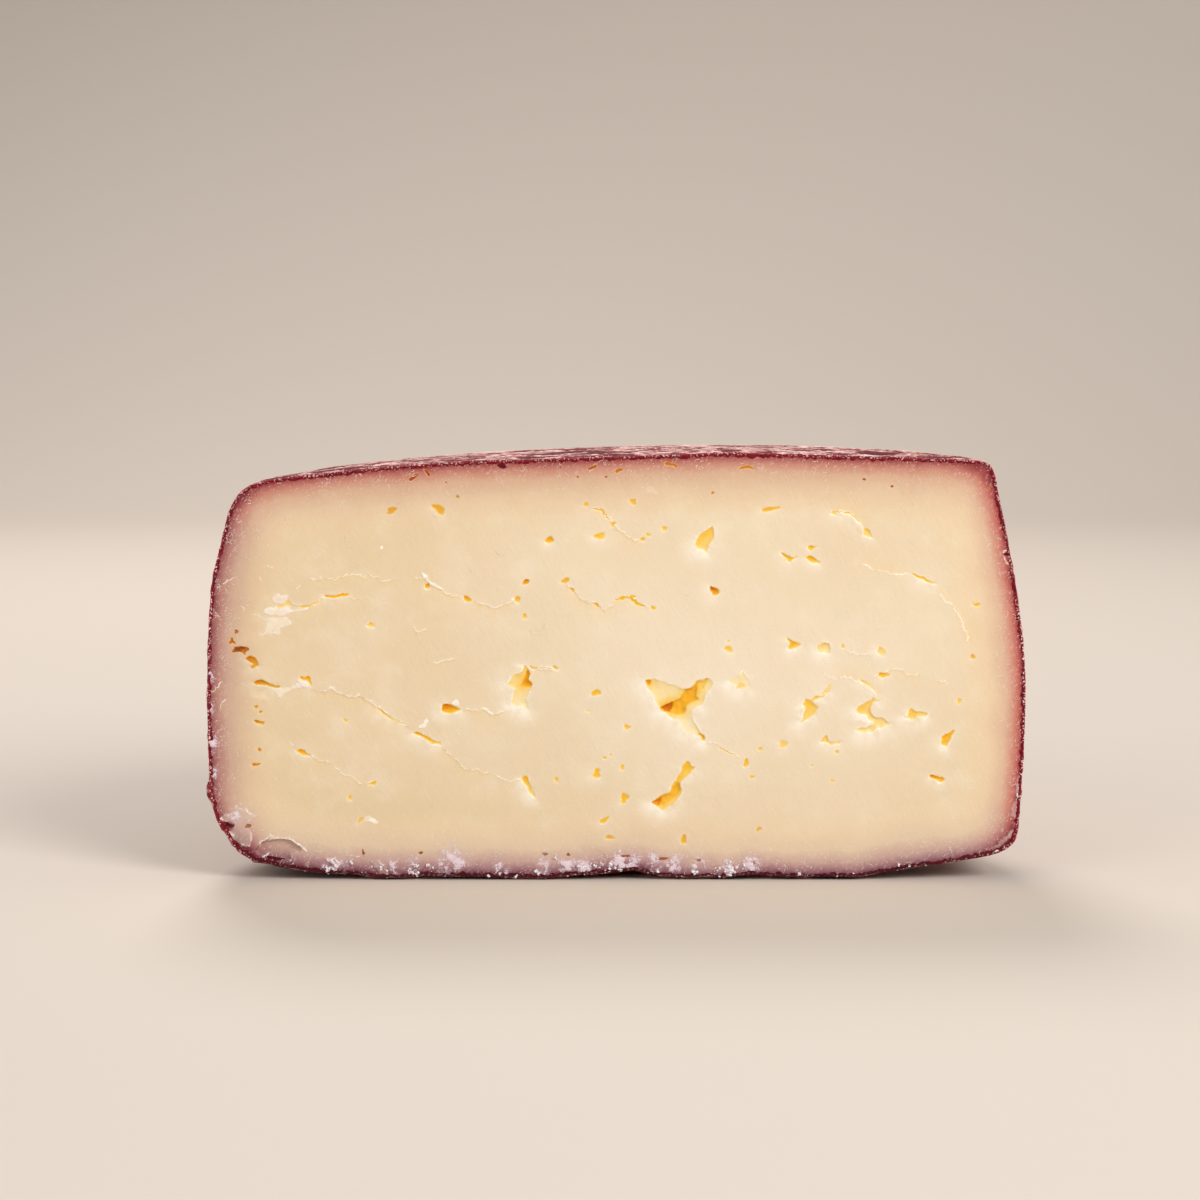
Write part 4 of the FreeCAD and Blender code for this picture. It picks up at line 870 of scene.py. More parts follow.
def crack_steps(points):
    """How far the face stands out or back beside its cracks, how white their torn lips are, and how much
    painted shade lies on the low side of each step.
    """
    rise = np.zeros(len(points))
    torn = np.zeros(len(points))
    shade = np.zeros(len(points))
    rough = field(points, 0.9, 2, 40)
    flap = field(points, 1.6, 2, 42)
    for n, (width, step, _) in enumerate(CRACKS):
        line, across = jagged(n)
        close = near(points, line, 8)
        far, which = nearest(points[close], line)
        s = which / (len(line) - 1)
        ends = smooth(s, 0.0, 0.12) * smooth(1 - s, 0.0, 0.12)
        side = np.einsum("ij,ij->i", points[close] - line[which], across[which])
        above = side > -0.02
        swell = 1 + 0.5 * field(points[close], 6.0, 2, 41)
        soft = smooth(far, 0.0, 0.35)
        lift = np.where(above, (0.2 + 0.3 * soft) * np.exp(-far / 4.5),
                        (0.2 - 0.8 * soft) * np.exp(-far / 3.0))
        ridge = (0.06 + 0.25 * step) * np.exp(-(far / 0.26) ** 2) * (0.7 + 0.9 * rough[close])
        rise[close] += (0.6 * lift * step * swell + 0.7 * ridge) * ends
        lip = np.exp(-(far / (0.12 + 0.35 * step)) ** 2) * (0.75 + 0.6 * rough[close])
        hang = smooth(flap[close] + 0.1 - far / (0.2 + 3.0 * step), -0.05, 0.1)
        hang = hang * (0.85 if step > 0.15 else 0.0)
        torn[close] = np.maximum(torn[close], ends * np.where(above, np.maximum(lip, hang), lip))
        # Painted shade, tinted gold, on the low side of the step: a broad band, and a stronger line right
        # by the crack.
        below = np.exp(-far / 1.8) * (0.3 + 1.2 * step) + 0.8 * np.exp(-((far - 0.12) / 0.22) ** 2)
        below = below * min(1.0, 0.2 + 8 * step)
        shade[close] = np.maximum(shade[close], np.where(above, 0, ends * below))
    return rise, torn, shade


def lay_patches(look, points, to_rim, crumble):
    """Lay the lifted, torn and smeared patches over the face, one after another."""
    for n, (height, white, lilac, wine, blur, outline) in enumerate(PATCHES):
        outline = ragged(outline, n, blur)
        close = near(points, outline, 2)
        far, _ = nearest(points[close], outline)
        into = np.where(inside(points[close], outline), far, -far)
        share = smooth(into, -0.05, blur)
        inner = smooth(to_rim[close], 0.3, 1.6) if height > 0 else 1.0
        look["rise"][close] += share * (height + 0.1 * white * crumble[close]) * inner
        border = 0.3 + 0.7 * np.exp(-(np.maximum(into, 0) / 0.3) ** 2)
        fresh = {"torn": white * border * (0.9 + 0.5 * crumble[close]),
                 "pale": white * 0.6 * (1 - lilac), "lilac": lilac, "wine": wine}
        for key, value in fresh.items():
            look[key][close] = look[key][close] * (1 - share) + share * value


def frost_on(points, crumble, patch):
    """How thick the frost-white paste lies at each point."""
    frost = np.zeros(len(points))
    for x, z, wide, tall in FROST:
        far = ((points[:, 0] - x) / wide) ** 2 + ((points[:, 1] - z) / tall) ** 2
        frost = np.maximum(frost, np.exp(-far) * np.clip(0.8 + 1.1 * patch + 1.4 * crumble, 0, 1.3))
    return frost


def sink(look, hole, points, to_rim, crumble, patch):
    """Sink one eye or gap into the face, whiten what its edge turned up, and paint a highlight on its
    lower-left lip and halo, the side that faces the light.
    """
    close = near(points, hole.outline, 4.0)
    here = points[close]
    to_rim, crumble, patch = to_rim[close], crumble[close], patch[close]
    rise, torn, pale, deep, amber, brown = [look[key][close] for key in
                                            ("rise", "torn", "pale", "deep", "amber", "brown")]
    far, which = nearest(here, hole.outline)
    within = inside(here, hole.outline) | (far < 0.01)
    free = ~within & (deep < 0.01)
    reach = far + 0.06 + 0.08 * hole.narrow
    floor = deep + (hole.depth - deep) * (1 - np.exp(-reach / hole.wall))
    floor = np.maximum(deep, floor * (1 + 0.15 * crumble))

    bulk = min(1.0, 0.25 * math.sqrt(np.prod(hole.high - hole.low)))
    away = (here - hole.outline[which]) / np.maximum(far, 1e-6)[:, None]
    # How far a point lies on the lower-left side of the hole, the side whose lip faces the light.
    lit_side = np.clip(0.1 - 0.5 * away[:, 0] - 0.8 * away[:, 1], 0, 1)
    lip = 0.9 * np.exp(-(far / (0.2 + 0.1 * bulk)) ** 2) * np.clip(0.7 + 1.2 * patch, 0, 1)
    # A painted highlight on that lit side of the lip, joined to the real white of the torn lip.
    painted_light = np.exp(-(far / 0.45) ** 2) * lit_side * np.clip(0.8 + patch, 0, 1)
    lip = hole.lip * np.maximum(lip, 0.85 * painted_light) * smooth(to_rim, 3.0, 8.0)
    # A pale halo round the hole: partly paste whitened by the cut, partly painted light, brightest on the
    # lit side.
    halo = 0.75 * np.exp(-(far / (0.6 + 2.0 * bulk)) ** 2) * (0.15 + lit_side) * (0.4 + 0.6 * bulk)
    halo = halo * (1 - 0.4 * hole.narrow)
    halo = hole.lip * (halo + 0.7 * np.exp(-(far / 0.3) ** 2) * (0.4 + 0.6 * lit_side))
    halo = halo * smooth(to_rim, 4.0, 9.0) * np.clip(0.9 + 0.8 * patch, 0, 1.3)

    shift = 1 - np.exp(-reach / 0.08)
    # Amber spills from a hollow over the floor of its eye, painted shade round the deeper pit.
    spill = 0.35 * hole.amber * np.exp(-(far / 1.3) ** 2) * (hole.lip == 0) * (deep > 0.01)
    room = np.clip(1 - amber / 0.6, 0, 1)
    # Inside, the hole's amber with its painted shade takes over just within the outline.
    deeper = amber + (hole.shaded_amber(here) - amber) * shift
    # The halo, partly painted light, goes to the pale mark; the lip, with its painted highlight, goes to
    # the torn white.
    look["pale"][close] = np.where(free, np.maximum(pale, halo), pale)
    look["rise"][close] = np.where(free, rise + 0.05 * lip, rise)
    look["torn"][close] = np.where(within, 0.0, np.where(free, np.maximum(torn, lip), torn))
    look["deep"][close] = np.where(within, floor, deep)
    look["amber"][close] = np.where(within, deeper, amber + spill * room)
    look["brown"][close] = np.where(within, hole.brown, brown)


def sides_of(points, rim):
    """How much the right side, top, left side and foot stain each point, and how
    much nearer the rim seems where two sides meet."""
    around = np.roll(rim, -5, axis=0) - np.roll(rim, 5, axis=0)
    around = around / np.linalg.norm(around, axis=1, keepdims=True)
    out_x, out_z = around[:, 1], -around[:, 0]
    picks = (out_x > 0.72, out_z > 0.72, out_x < -0.72, out_z < -0.72)
    sides = np.array([nearest(points, rim[pick])[0] for pick in picks])
    past = sides - sides.min(axis=0)
    pull = np.exp(-past / 3.0)
    pull = pull / pull.sum(axis=0)
    corner = 2.6 * np.log(np.exp(-past / 2.6).sum(axis=0))
    corner = corner * (1 - 0.4 * smooth(points[:, 1], 40, 80) * smooth(-points[:, 0], -40, 40))
    return pull, corner - 0.45 * pull[3] * smooth(points[:, 0], 0, 20)


def face_shape(points, rim, holes):
    """Height above the plane of the cut, and the looks of each point of the face."""
    to_rim, _ = nearest(points, rim)
    step, torn, shade = crack_steps(points)
    crumble = field(points, 1.1, 3, 6)
    patch = field(points, 2.4, 2, 7)
    rise = 0.14 * field(points, 34, 2, 1) + 0.05 * field(points, 8, 2, 2) + 0.022 * field(points, 1.8, 2, 3)
    rise = (rise + step) * smooth(to_rim, 0.3, 3.5) - 0.06 * (1 - smooth(to_rim, 0.8, 2.2))
    look = {key: np.zeros(len(points)) for key in ("deep", "amber", "brown", "lilac", "wine", "pale")}
    look.update(rise=rise, torn=torn)
    lay_patches(look, points, to_rim, crumble)
    look["frost"] = frost_on(points, crumble, patch)
    look["rise"] += 0.2 * look["frost"] * np.clip(0.3 + 1.5 * crumble, 0, 1)
    for hole in holes:
        sink(look, hole, points, to_rim, crumble, patch)
    rise = look.pop("rise") - look["deep"]
    (_, look["top"], look["left"], look["foot"]), corner = sides_of(points, rim)
    look["edge"] = np.maximum(to_rim + PASTE_INSET - corner, 0.5 * to_rim)
    # A pool of painted light on the face, brightest a little right of the middle.
    look["painted_light"] = np.exp(-((points[:, 0] - 24) / 66) ** 2 - ((points[:, 1] - 50) / 36) ** 2)
    look.update(loads(points, to_rim, look))
    look.update({key: np.clip(value, 0, 1) for key, value in
                 (("torn", look["torn"]), ("pale", look["pale"]), ("shade", shade))})
    return rise, look


def loads(points, to_rim, look):
    """How many grains, curls and crumbs a square mm of the face carries."""
    left, foot = look["left"], look["foot"]
    clump = np.clip(field(points, 3.5, 2, 31) * 2.2 + 0.35, 0, 2)
    open_face = (look["deep"] < 0.02) * 1.0
    near_rim = np.exp(-(to_rim / 5.0) ** 2)
    upper_left = smooth(-points[:, 0], 20, 75) * smooth(points[:, 1], 35, 85)
    right = smooth(points[:, 0], 55, 88)
    haze = foot * np.exp(-((to_rim - 6) / 3.5) ** 2)
    grains = 0.04 + near_rim * (0.25 + 0.4 * left + 0.3 * foot) + 0.1 * upper_left + 0.06 * right
    curls = 0.07 + 0.3 * haze + 0.25 * upper_left + 0.08 * right
    curls = curls + near_rim * (0.3 + 0.35 * left) + 0.2 * look["torn"]
    crumbs = np.exp(-(to_rim / 2.4) ** 2) * foot * (0.3 + 2.8 * look["frost"])
    return {"grains": grains * clump * open_face * PER_SQUARE_MM,
            "curls": curls * clump * open_face * PER_SQUARE_MM,
            "crumbs": crumbs * np.clip(clump * 1.6 - 0.5, 0, 2) * PER_SQUARE_MM}


def inset(loop, amount):
    """A loop of the cut plane moved inward; loops run anticlockwise seen along -Y."""
    ahead = np.roll(loop, -1, axis=0) - np.roll(loop, 1, axis=0)
    out = np.c_[ahead[:, 1], -ahead[:, 0]]
    out = out / np.linalg.norm(out, axis=1, keepdims=True)
    if np.einsum("ij,ij->", out, loop - loop.mean(axis=0)) < 0:
        out = -out
    return loop - out * np.reshape(amount, (-1, 1))


def make_paste(wheel, material):
    """The paste: the cut face with its eyes and cracks, and a plain back under the rind."""
    rim3, _ = wheel.loop(0.0, EDGE_STEP)
    rim = inset(rim3[:, [0, 2]], PASTE_INSET)
    rim = rim + 0.05 * np.c_[field(rim, 1.2, 2, 71), field(rim, 1.2, 2, 72)]
    holes = list_holes()
    points, faces, ring = lay_out(rim, holes)
    rise, marks = face_shape(points, rim, holes)
    skin = Skin()
    skin.add_points(np.c_[points[:, 0], CUT_Y - rise, points[:, 1]], **marks)
    skin.faces += [tuple(f) for f in faces]
    plain = {key: 0.0 for key in marks}
    plain["edge"] = 0.2
    front = points[ring]
    start = skin.add_points(np.c_[front[:, 0], np.full(len(front), CUT_Y + 0.5), front[:, 1]], **plain)
    count = len(front)
    for i in range(count):
        a, b = ring[i], ring[(i + 1) % count]
        skin.faces += [(b, a, start + i), (b, start + i, start + (i + 1) % count)]
    skin.last = (start, count)
    for share in np.linspace(0.012, 0.97, 46):
        back, out = wheel.loop(share, BACK_STEP)
        skin.add_loop(back - out * (RIND_THICK + 0.1), **plain)
    skin.close((0.0, high.y / MM - RIND_THICK, HEART.z), **plain)
    piece = make_piece("cheese_paste", skin.all_points(), skin.faces, material, skin.all_marks(), 50)
    face_out(piece)
    return piece


def face_out(piece):
    """Turn the faces outward when most of them look in."""
    mesh = piece.data
    count = len(mesh.polygons)
    way = np.empty(count * 3)
    where = np.empty(count * 3)
    area = np.empty(count)
    mesh.polygons.foreach_get("normal", way)
    mesh.polygons.foreach_get("center", where)
    mesh.polygons.foreach_get("area", area)
    away = where.reshape(-1, 3) - np.array(HEART) * MM - np.array([0.0, 10 * MM, 0.0])
    if (np.einsum("ij,ij->i", way.reshape(-1, 3), away) * area).sum() < 0:
        mesh.flip_normals()


# ------------------------------------------------------------------------ the rind
# Lumps and hollows of the rind near the cut: x, depth from the cut, z, radius, height.
LUMPS = ((-89.4, 0.0, 21.0, 1.2, 0.7), (-89.2, 0.0, 19.0, 1.3, 0.8), (-81.5, 0.0, 93.0, 3.0, 0.3),
         (84.8, 0.0, 72.0, 0.9, -1.6), (-84.0, 0.5, 70.0, 1.8, 0.35), (81.8, 0.0, 78.5, 1.2, 0.3))


def rind_relief(points):
    """How far the rind stands out in mm, and where its pale crests are."""
    folds = 1 - np.abs(field(points * (0.8, 0.8, 1), 9.0, 2, 11)) * 2.4
    small = 1 - np.abs(field(points, 3.4, 3, 12)) * 2.6
    crest = np.clip(0.55 * folds + 0.45 * small, -0.6, 1.0)
    swell = field(points, 22, 2, 13)
    above_foot = smooth(points[:, 2], 0.4, 3.0)
    at_cut = np.exp(-((points[:, 1] - CUT_Y) / 2.5) ** 2)
    height = (0.42 * (crest - 0.62) + 0.12 * swell) * (0.1 + 0.9 * above_foot) * (1 - 0.5 * at_cut)
    height = height + 0.16 * at_cut * field(points, 0.9, 2, 14)
    height = np.where(above_foot < 1, np.minimum(height, 0.0) * (0.3 + 0.7 * above_foot), height)
    for x, back, z, radius, lift in LUMPS:
        far = np.linalg.norm(points - (x, CUT_Y + back, z), axis=1)
        height = height + lift * np.exp(-(far / radius) ** 2)
    return height, np.clip(crest, 0, 1)


def rind_spacing(line):
    """More points on the top, fewer on the wall and the foot."""
    height = line[:, 2] / TOP_Z
    return np.where(height > 0.93, 1.0, np.where(height > 0.03, 0.66, 0.3))


def rind_inside(skin, wheel, plain):
    """The side of the rind that lies on the paste, from the back to the cut."""
    skin.begin((0.0, high.y / MM - RIND_THICK, HEART.z), **plain)
    for i, share in enumerate(np.linspace(0.97, 0.02, 34)):
        points, out = wheel.loop(share, HIDDEN_STEP)
        skin.add_loop(points - out * RIND_THICK, **plain)
        if i == 0:
            skin.open_from_tip()


def rind_edge(skin, wheel):
    """The ragged edge of the rind where the knife went through it."""
    rim3, _ = wheel.loop(0.0, RIND_EDGE_STEP)
    rim = rim3[:, [0, 2]]
    rough = field(rim, 0.9, 3, 21)
    slow = field(rim, 5.0, 2, 22)
    third = field(rim, 0.7, 2, 23)
    upper = smooth(rim[:, 1], 0.8 * TOP_Z, 0.9 * TOP_Z)
    wall = smooth(rim[:, 1], 2.0, 9.0) * (1 - upper)
    corners = smooth(np.abs(rim[:, 0]), 70, 80) * smooth(-rim[:, 1], -14, -8)
    thick = np.clip(0.74 + 0.25 * slow + 0.45 * rough + 0.3 * corners, 0.5, 1.5)
    # from the inside out: how far in from the rim, how far back, how ragged
    ring = ((1.9, 0.7, 0.0), (thick + 0.2, 0.1, 0.03), (thick, -0.01, 0.05),
            (0.6 * thick + 0.05 * third, -0.05, 0.08), (0.34, -0.07, 0.1), (0.12, -0.04, 0.12))
    for amount, y, jump in ring:
        across = amount + np.zeros(len(rim))
        line = inset(rim, across)
        lift = y - jump * field(line, 0.8, 2, 24 + y)
        load = (0.9 - 0.5 * upper) * np.clip(0.5 + 1.8 * slow, 0, 2) * PER_SQUARE_MM
        load = load * (np.mean(amount) < 0.2)
        skin.add_loop(np.c_[line[:, 0], CUT_Y + lift, line[:, 1]], flecks=load, upper=upper, wall=wall,
                      across=across, crest=np.clip(0.5 + rough, 0, 1))


def rind_outside(skin, wheel, plain):
    """The wrinkled outside of the rind, from the cut to the back."""
    share = 0.05 / wheel.reach
    step = ROW_FIRST
    while share < 0.985:
        points, out = wheel.loop(share, RIND_STEP + 0.1 * (share > 0.1), rind_spacing)
        height, crest = rind_relief(points)
        points = points + out * height[:, None]
        points[:, 2] = np.maximum(points[:, 2], 0.0)
        skin.add_loop(points, across=0.0, crest=crest, upper=0.0, wall=0.0,
                      flecks=PER_SQUARE_MM * (share * wheel.reach < FLECK_REACH))
        share += step / wheel.reach
        step = min(step * ROW_GROWTH, ROW_LAST)
    skin.close((0.0, high.y / MM, HEART.z), **plain | {"across": 0.0})


def make_rind(wheel, material):
    """The stained rind: a thin closed shell, ragged at the cut."""
    skin = Skin()
    plain = {"across": 1.0, "crest": 0.2, "flecks": 0.0, "upper": 0.0, "wall": 0.0}
    rind_inside(skin, wheel, plain)
    rind_edge(skin, wheel)
    rind_outside(skin, wheel, plain)
    piece = make_piece("cheese_rind", skin.all_points(), skin.faces, material, skin.all_marks())
    face_out(piece)
    return piece


# ----------------------------------------------------------------- material helpers
def srgb(red, green, blue):
    """A colour as seen on a screen, 0 to 255, as the linear colour Blender wants."""
    parts = [c / 255 for c in (red, green, blue)]
    return tuple(c / 12.92 if c <= 0.04045 else ((c + 0.055) / 1.055) ** 2.4 for c in parts) + (1.0,)


class Value:
    """A number in a node graph; arithmetic on it adds Math nodes."""

    def __init__(self, graph, socket):
        self.graph, self.socket = graph, socket

    def math(self, operation, *others, clamp=False):
        node = self.graph.make("ShaderNodeMath", operation=operation, use_clamp=clamp)
        for slot, item in zip(node.inputs, others):
            self.graph.feed(slot, item)
        return Value(self.graph, node.outputs[0])

    def __add__(self, other):
        return self.math("ADD", self, other)

    def __radd__(self, other):
        return self.math("ADD", other, self)

    def __sub__(self, other):
        return self.math("SUBTRACT", self, other)

    def __rsub__(self, other):
        return self.math("SUBTRACT", other, self)

    def __mul__(self, other):
        return self.math("MULTIPLY", self, other)

    def __rmul__(self, other):
        return self.math("MULTIPLY", other, self)

    def between(self, start, end):
        """0 at start, 1 at end, a soft step between."""
        node = self.graph.make("ShaderNodeMapRange", interpolation_type="SMOOTHSTEP")
        self.graph.feed(node.inputs["Value"], self)
        self.graph.feed(node.inputs["From Min"], start)
        self.graph.feed(node.inputs["From Max"], end)
        return Value(self.graph, node.outputs[0])

    def ramp(self, *stops, span=1.0):
        """Colours by value; stops are (value, colour) pairs up to the span."""
        node = self.graph.make("ShaderNodeValToRGB")
        self.graph.feed(node.inputs[0], self * (1.0 / span))
        ramp = node.color_ramp
        while len(ramp.elements) < len(stops):
            ramp.elements.new(1.0)
        for element, (place, colour) in zip(ramp.elements, stops):
            element.position = place / span
            element.color = srgb(*colour)
        return node.outputs[0]


class Graph:
    """The nodes of one material."""

    def __init__(self, name):
        self.material = bpy.data.materials.new(name)
        self.material.use_nodes = True
        self.tree = self.material.node_tree
        self.tree.nodes.clear()
        self.output = self.make("ShaderNodeOutputMaterial")
        self.place = self.make("ShaderNodeTexCoord").outputs["Object"]

    def make(self, kind, **settings):
        node = self.tree.nodes.new(kind)
        for key, value in settings.items():
            setattr(node, key, value)
        return node

    def feed(self, slot, item):
        if isinstance(item, Value):
            item = item.socket
        if isinstance(item, bpy.types.NodeSocket):
            self.tree.links.new(item, slot)
        else:
            slot.default_value = item

    def mark(self, name):
        node = self.make("ShaderNodeAttribute", attribute_name=name)
        return Value(self, node.outputs["Fac"])

    def noise(self, size, detail=3.0, rough=0.55, stretch=(1, 1, 1), turn=(0, 0, 0), warp=0.0):
        """Soft noise from 0 to 1 with features of about the size given in mm."""
        mapping = self.make("ShaderNodeMapping", vector_type="TEXTURE")
        self.feed(mapping.inputs["Vector"], self.place)
        mapping.inputs["Rotation"].default_value = turn
        mapping.inputs["Scale"].default_value = [size * MM * s for s in stretch]
        node = self.make("ShaderNodeTexNoise")
        self.feed(node.inputs["Vector"], mapping.outputs[0])
        node.inputs["Scale"].default_value = 1.0
        node.inputs["Detail"].default_value = detail
        node.inputs["Roughness"].default_value = rough
        node.inputs["Distortion"].default_value = warp
        return Value(self, node.outputs["Fac"])

    def mix(self, share, first, second):
        """A colour between two; a colour is a socket or three numbers of 0 to 255."""
        node = self.make("ShaderNodeMix", data_type="RGBA", clamp_factor=True)
        self.feed(node.inputs[0], share)
        self.feed(node.inputs[6], srgb(*first) if isinstance(first, tuple) else first)
        self.feed(node.inputs[7], srgb(*second) if isinstance(second, tuple) else second)
        return node.outputs[2]

    def bump(self, height, strength, distance):
        node = self.make("ShaderNodeBump")
        self.feed(node.inputs["Height"], height)
        node.inputs["Strength"].default_value = strength
        node.inputs["Distance"].default_value = distance * MM
        return node.outputs[0]

    def finish(self, colour, roughness, normal=None, **fixed):
        shader = self.make("ShaderNodeBsdfPrincipled")
        if isinstance(colour, tuple):
            colour = srgb(*colour)
        self.feed(shader.inputs["Base Color"], colour)
        self.feed(shader.inputs["Roughness"], roughness)
        if normal is not None:
            self.feed(shader.inputs["Normal"], normal)
        for key, value in fixed.items():
            shader.inputs[key.replace("_", " ")].default_value = value
        self.tree.links.new(shader.outputs[0], self.output.inputs["Surface"])
        return self.material


# ----------------------------------------------------------------------- materials
# Stain under the rind on each side: mm in from the rind, colour on a screen.
RIGHT_STAIN = ((0, (118, 26, 34)), (0.5, (140, 48, 52)), (1.0, (166, 68, 62)), (1.75, (192, 108, 94)),
               (2.6, (206, 138, 118)), (4.4, (220, 180, 151)), (8, (232, 205, 168)), (14, (240, 214, 175)))
TOP_STAIN = ((0, (120, 26, 34)), (0.6, (140, 48, 50)), (1.0, (158, 72, 66)), (1.75, (181, 110, 95)),
             (2.6, (199, 138, 116)), (4.4, (212, 171, 141)), (8, (225, 196, 161)), (14, (236, 209, 171)))
LEFT_STAIN = ((0, (96, 26, 38)), (0.5, (122, 50, 58)), (1.0, (148, 78, 80)), (1.75, (166, 106, 100)),
              (2.6, (184, 132, 120)), (4.4, (203, 165, 144)), (8, (219, 189, 155)), (14, (232, 203, 161)))
FOOT_STAIN = ((0, (56, 10, 20)), (0.6, (84, 24, 36)), (1.0, (108, 48, 60)), (1.4, (132, 80, 90)),
              (2.0, (158, 112, 116)), (3.6, (198, 160, 148)), (6.5, (225, 199, 168)), (14, (240, 214, 176)))


def stained_paste(g, patchy, fine, streak):
    """Cream in the middle of the cut, stained deeper the nearer the rind; painted light brightens its
    middle, and painted highlight and shade mark its eyes and cracks.
    """
    broad = g.noise(38, 2)
    # The base cream lightens toward the pool of painted light, and varies at random.
    base = g.mix(g.mark("painted_light") + (broad - 0.5) * 0.9, (228, 203, 163), (238, 219, 190))
    base = g.mix(patchy.between(0.45, 0.75) * 0.3, base, (243, 227, 201))
    edge = g.mark("edge") * (0.76 + patchy * 0.48) + (fine - 0.5) * 0.7 + (streak - 0.5) * 0.5
    stain = edge.ramp(*RIGHT_STAIN, span=14)
    stain = g.mix(g.mark("left"), stain, edge.ramp(*LEFT_STAIN, span=14))
    stain = g.mix(g.mark("top"), stain, edge.ramp(*TOP_STAIN, span=14))
    stain = g.mix(g.mark("foot"), stain, edge.ramp(*FOOT_STAIN, span=14))
    colour = g.mix(edge.between(8, 15), stain, base)
    colour = g.mix(streak.between(0.62, 0.8) * 0.2, colour, (250, 238, 216))
    stained = 1.0 - edge.between(1.0, 9.0)
    grit = g.noise(0.34, 2, stretch=(1, 1, 2.5), turn=(0, math.radians(40), 0))
    colour = g.mix(grit.between(0.56, 0.7) * stained * 0.3, colour, (244, 222, 210))
    # Whitened paste of the patches, and round the eyes a pale halo that is partly painted light.
    colour = g.mix(g.mark("pale") * 0.85, colour, (255, 244, 227))
    # Painted shade, tinted gold, on the low side of each crack's step.
    return g.mix(g.mark("shade") * 0.6, colour, (240, 203, 134))


def eye_floor(g, fine):
    """Pale gold that deepens to amber, painted to stand in for the light bounced in a pit and its shade, or
    the rusty brown of the pits at the rim.
    """
    amber = g.mark("amber") + (fine - 0.5) * 0.25
    gold = amber.ramp((0, (248, 230, 192)), (0.3, (246, 214, 142)), (0.6, (244, 192, 56)),
                      (0.9, (240, 168, 2)), (1.15, (224, 134, 0)), (1.35, (190, 98, 0)), span=1.4)
    rust = g.mix(g.mark("top"), g.mix(fine.between(0.4, 0.6), (118, 42, 0), (188, 96, 8)), (170, 62, 24))
    rust = g.mix(g.mark("foot"), rust, (150, 70, 40))
    return g.mix(g.mark("brown"), gold, rust)


def smeared(g, colour, fine, streak):
    """The pink film and the wine that the knife drew over the colour."""
    smear = g.mix(g.mark("left") + g.mark("foot"), (206, 150, 148), (176, 138, 128))
    film = g.mark("lilac") * (0.05 + streak * 1.2)
    colour = g.mix(film, colour, g.mix(fine.between(0.35, 0.75), smear, (212, 184, 172)))
    return g.mix(g.mark("wine"), colour, g.mix(fine.between(0.4, 0.6), (84, 20, 30), (116, 40, 48)))


def paste_material():
    g = Graph("goat_paste")
    patchy = g.noise(7, 3)
    fine = g.noise(1.3, 3)
    streak = g.noise(0.9, 3, 0.6, stretch=(1, 1, 5), turn=(0, math.radians(-30), 0))
    colour = stained_paste(g, patchy, fine, streak)
    hollow = g.mark("deep").between(0.0, 0.05)
    colour = g.mix(hollow, colour, eye_floor(g, fine))
    colour = smeared(g, colour, fine, streak)
    # White of torn paste; round the eyes it also carries a painted highlight on their lit lower-left lips.
    torn = (g.mark("torn") + (fine - 0.5) * 0.7).between(0.3, 0.62)
    cool = g.mark("lilac") + g.mark("frost") + g.mark("left") * 0.5
    white = g.mix(cool, (254, 245, 230), (236, 216, 216))
    colour = g.mix(torn * g.mark("torn").between(0.05, 0.3) * 0.92, colour, white)
    crystal = g.noise(0.55, 3, 0.7, warp=1.0)
    frost = (g.mark("frost") * 0.85 + (crystal - 0.5) * 2.4).between(0.38, 0.62)
    frost = frost * g.mark("frost").between(0.05, 0.4)
    colour = g.mix(g.mark("frost") * 0.5, colour, (206, 176, 186))
    colour = g.mix(frost * 0.75, colour, (240, 224, 229))
    grain = fine * 0.5 + streak * 0.5 + g.noise(0.5, 2) * 0.35 + frost * 1.2
    normal = g.bump(grain, 0.35, 0.25)
    return g.finish(colour, 0.45 + patchy * 0.2, normal, Subsurface_Weight=0.18,
                    Subsurface_Radius=(1.0, 0.65, 0.4), Subsurface_Scale=MM,
                    Specular_IOR_Level=0.35)


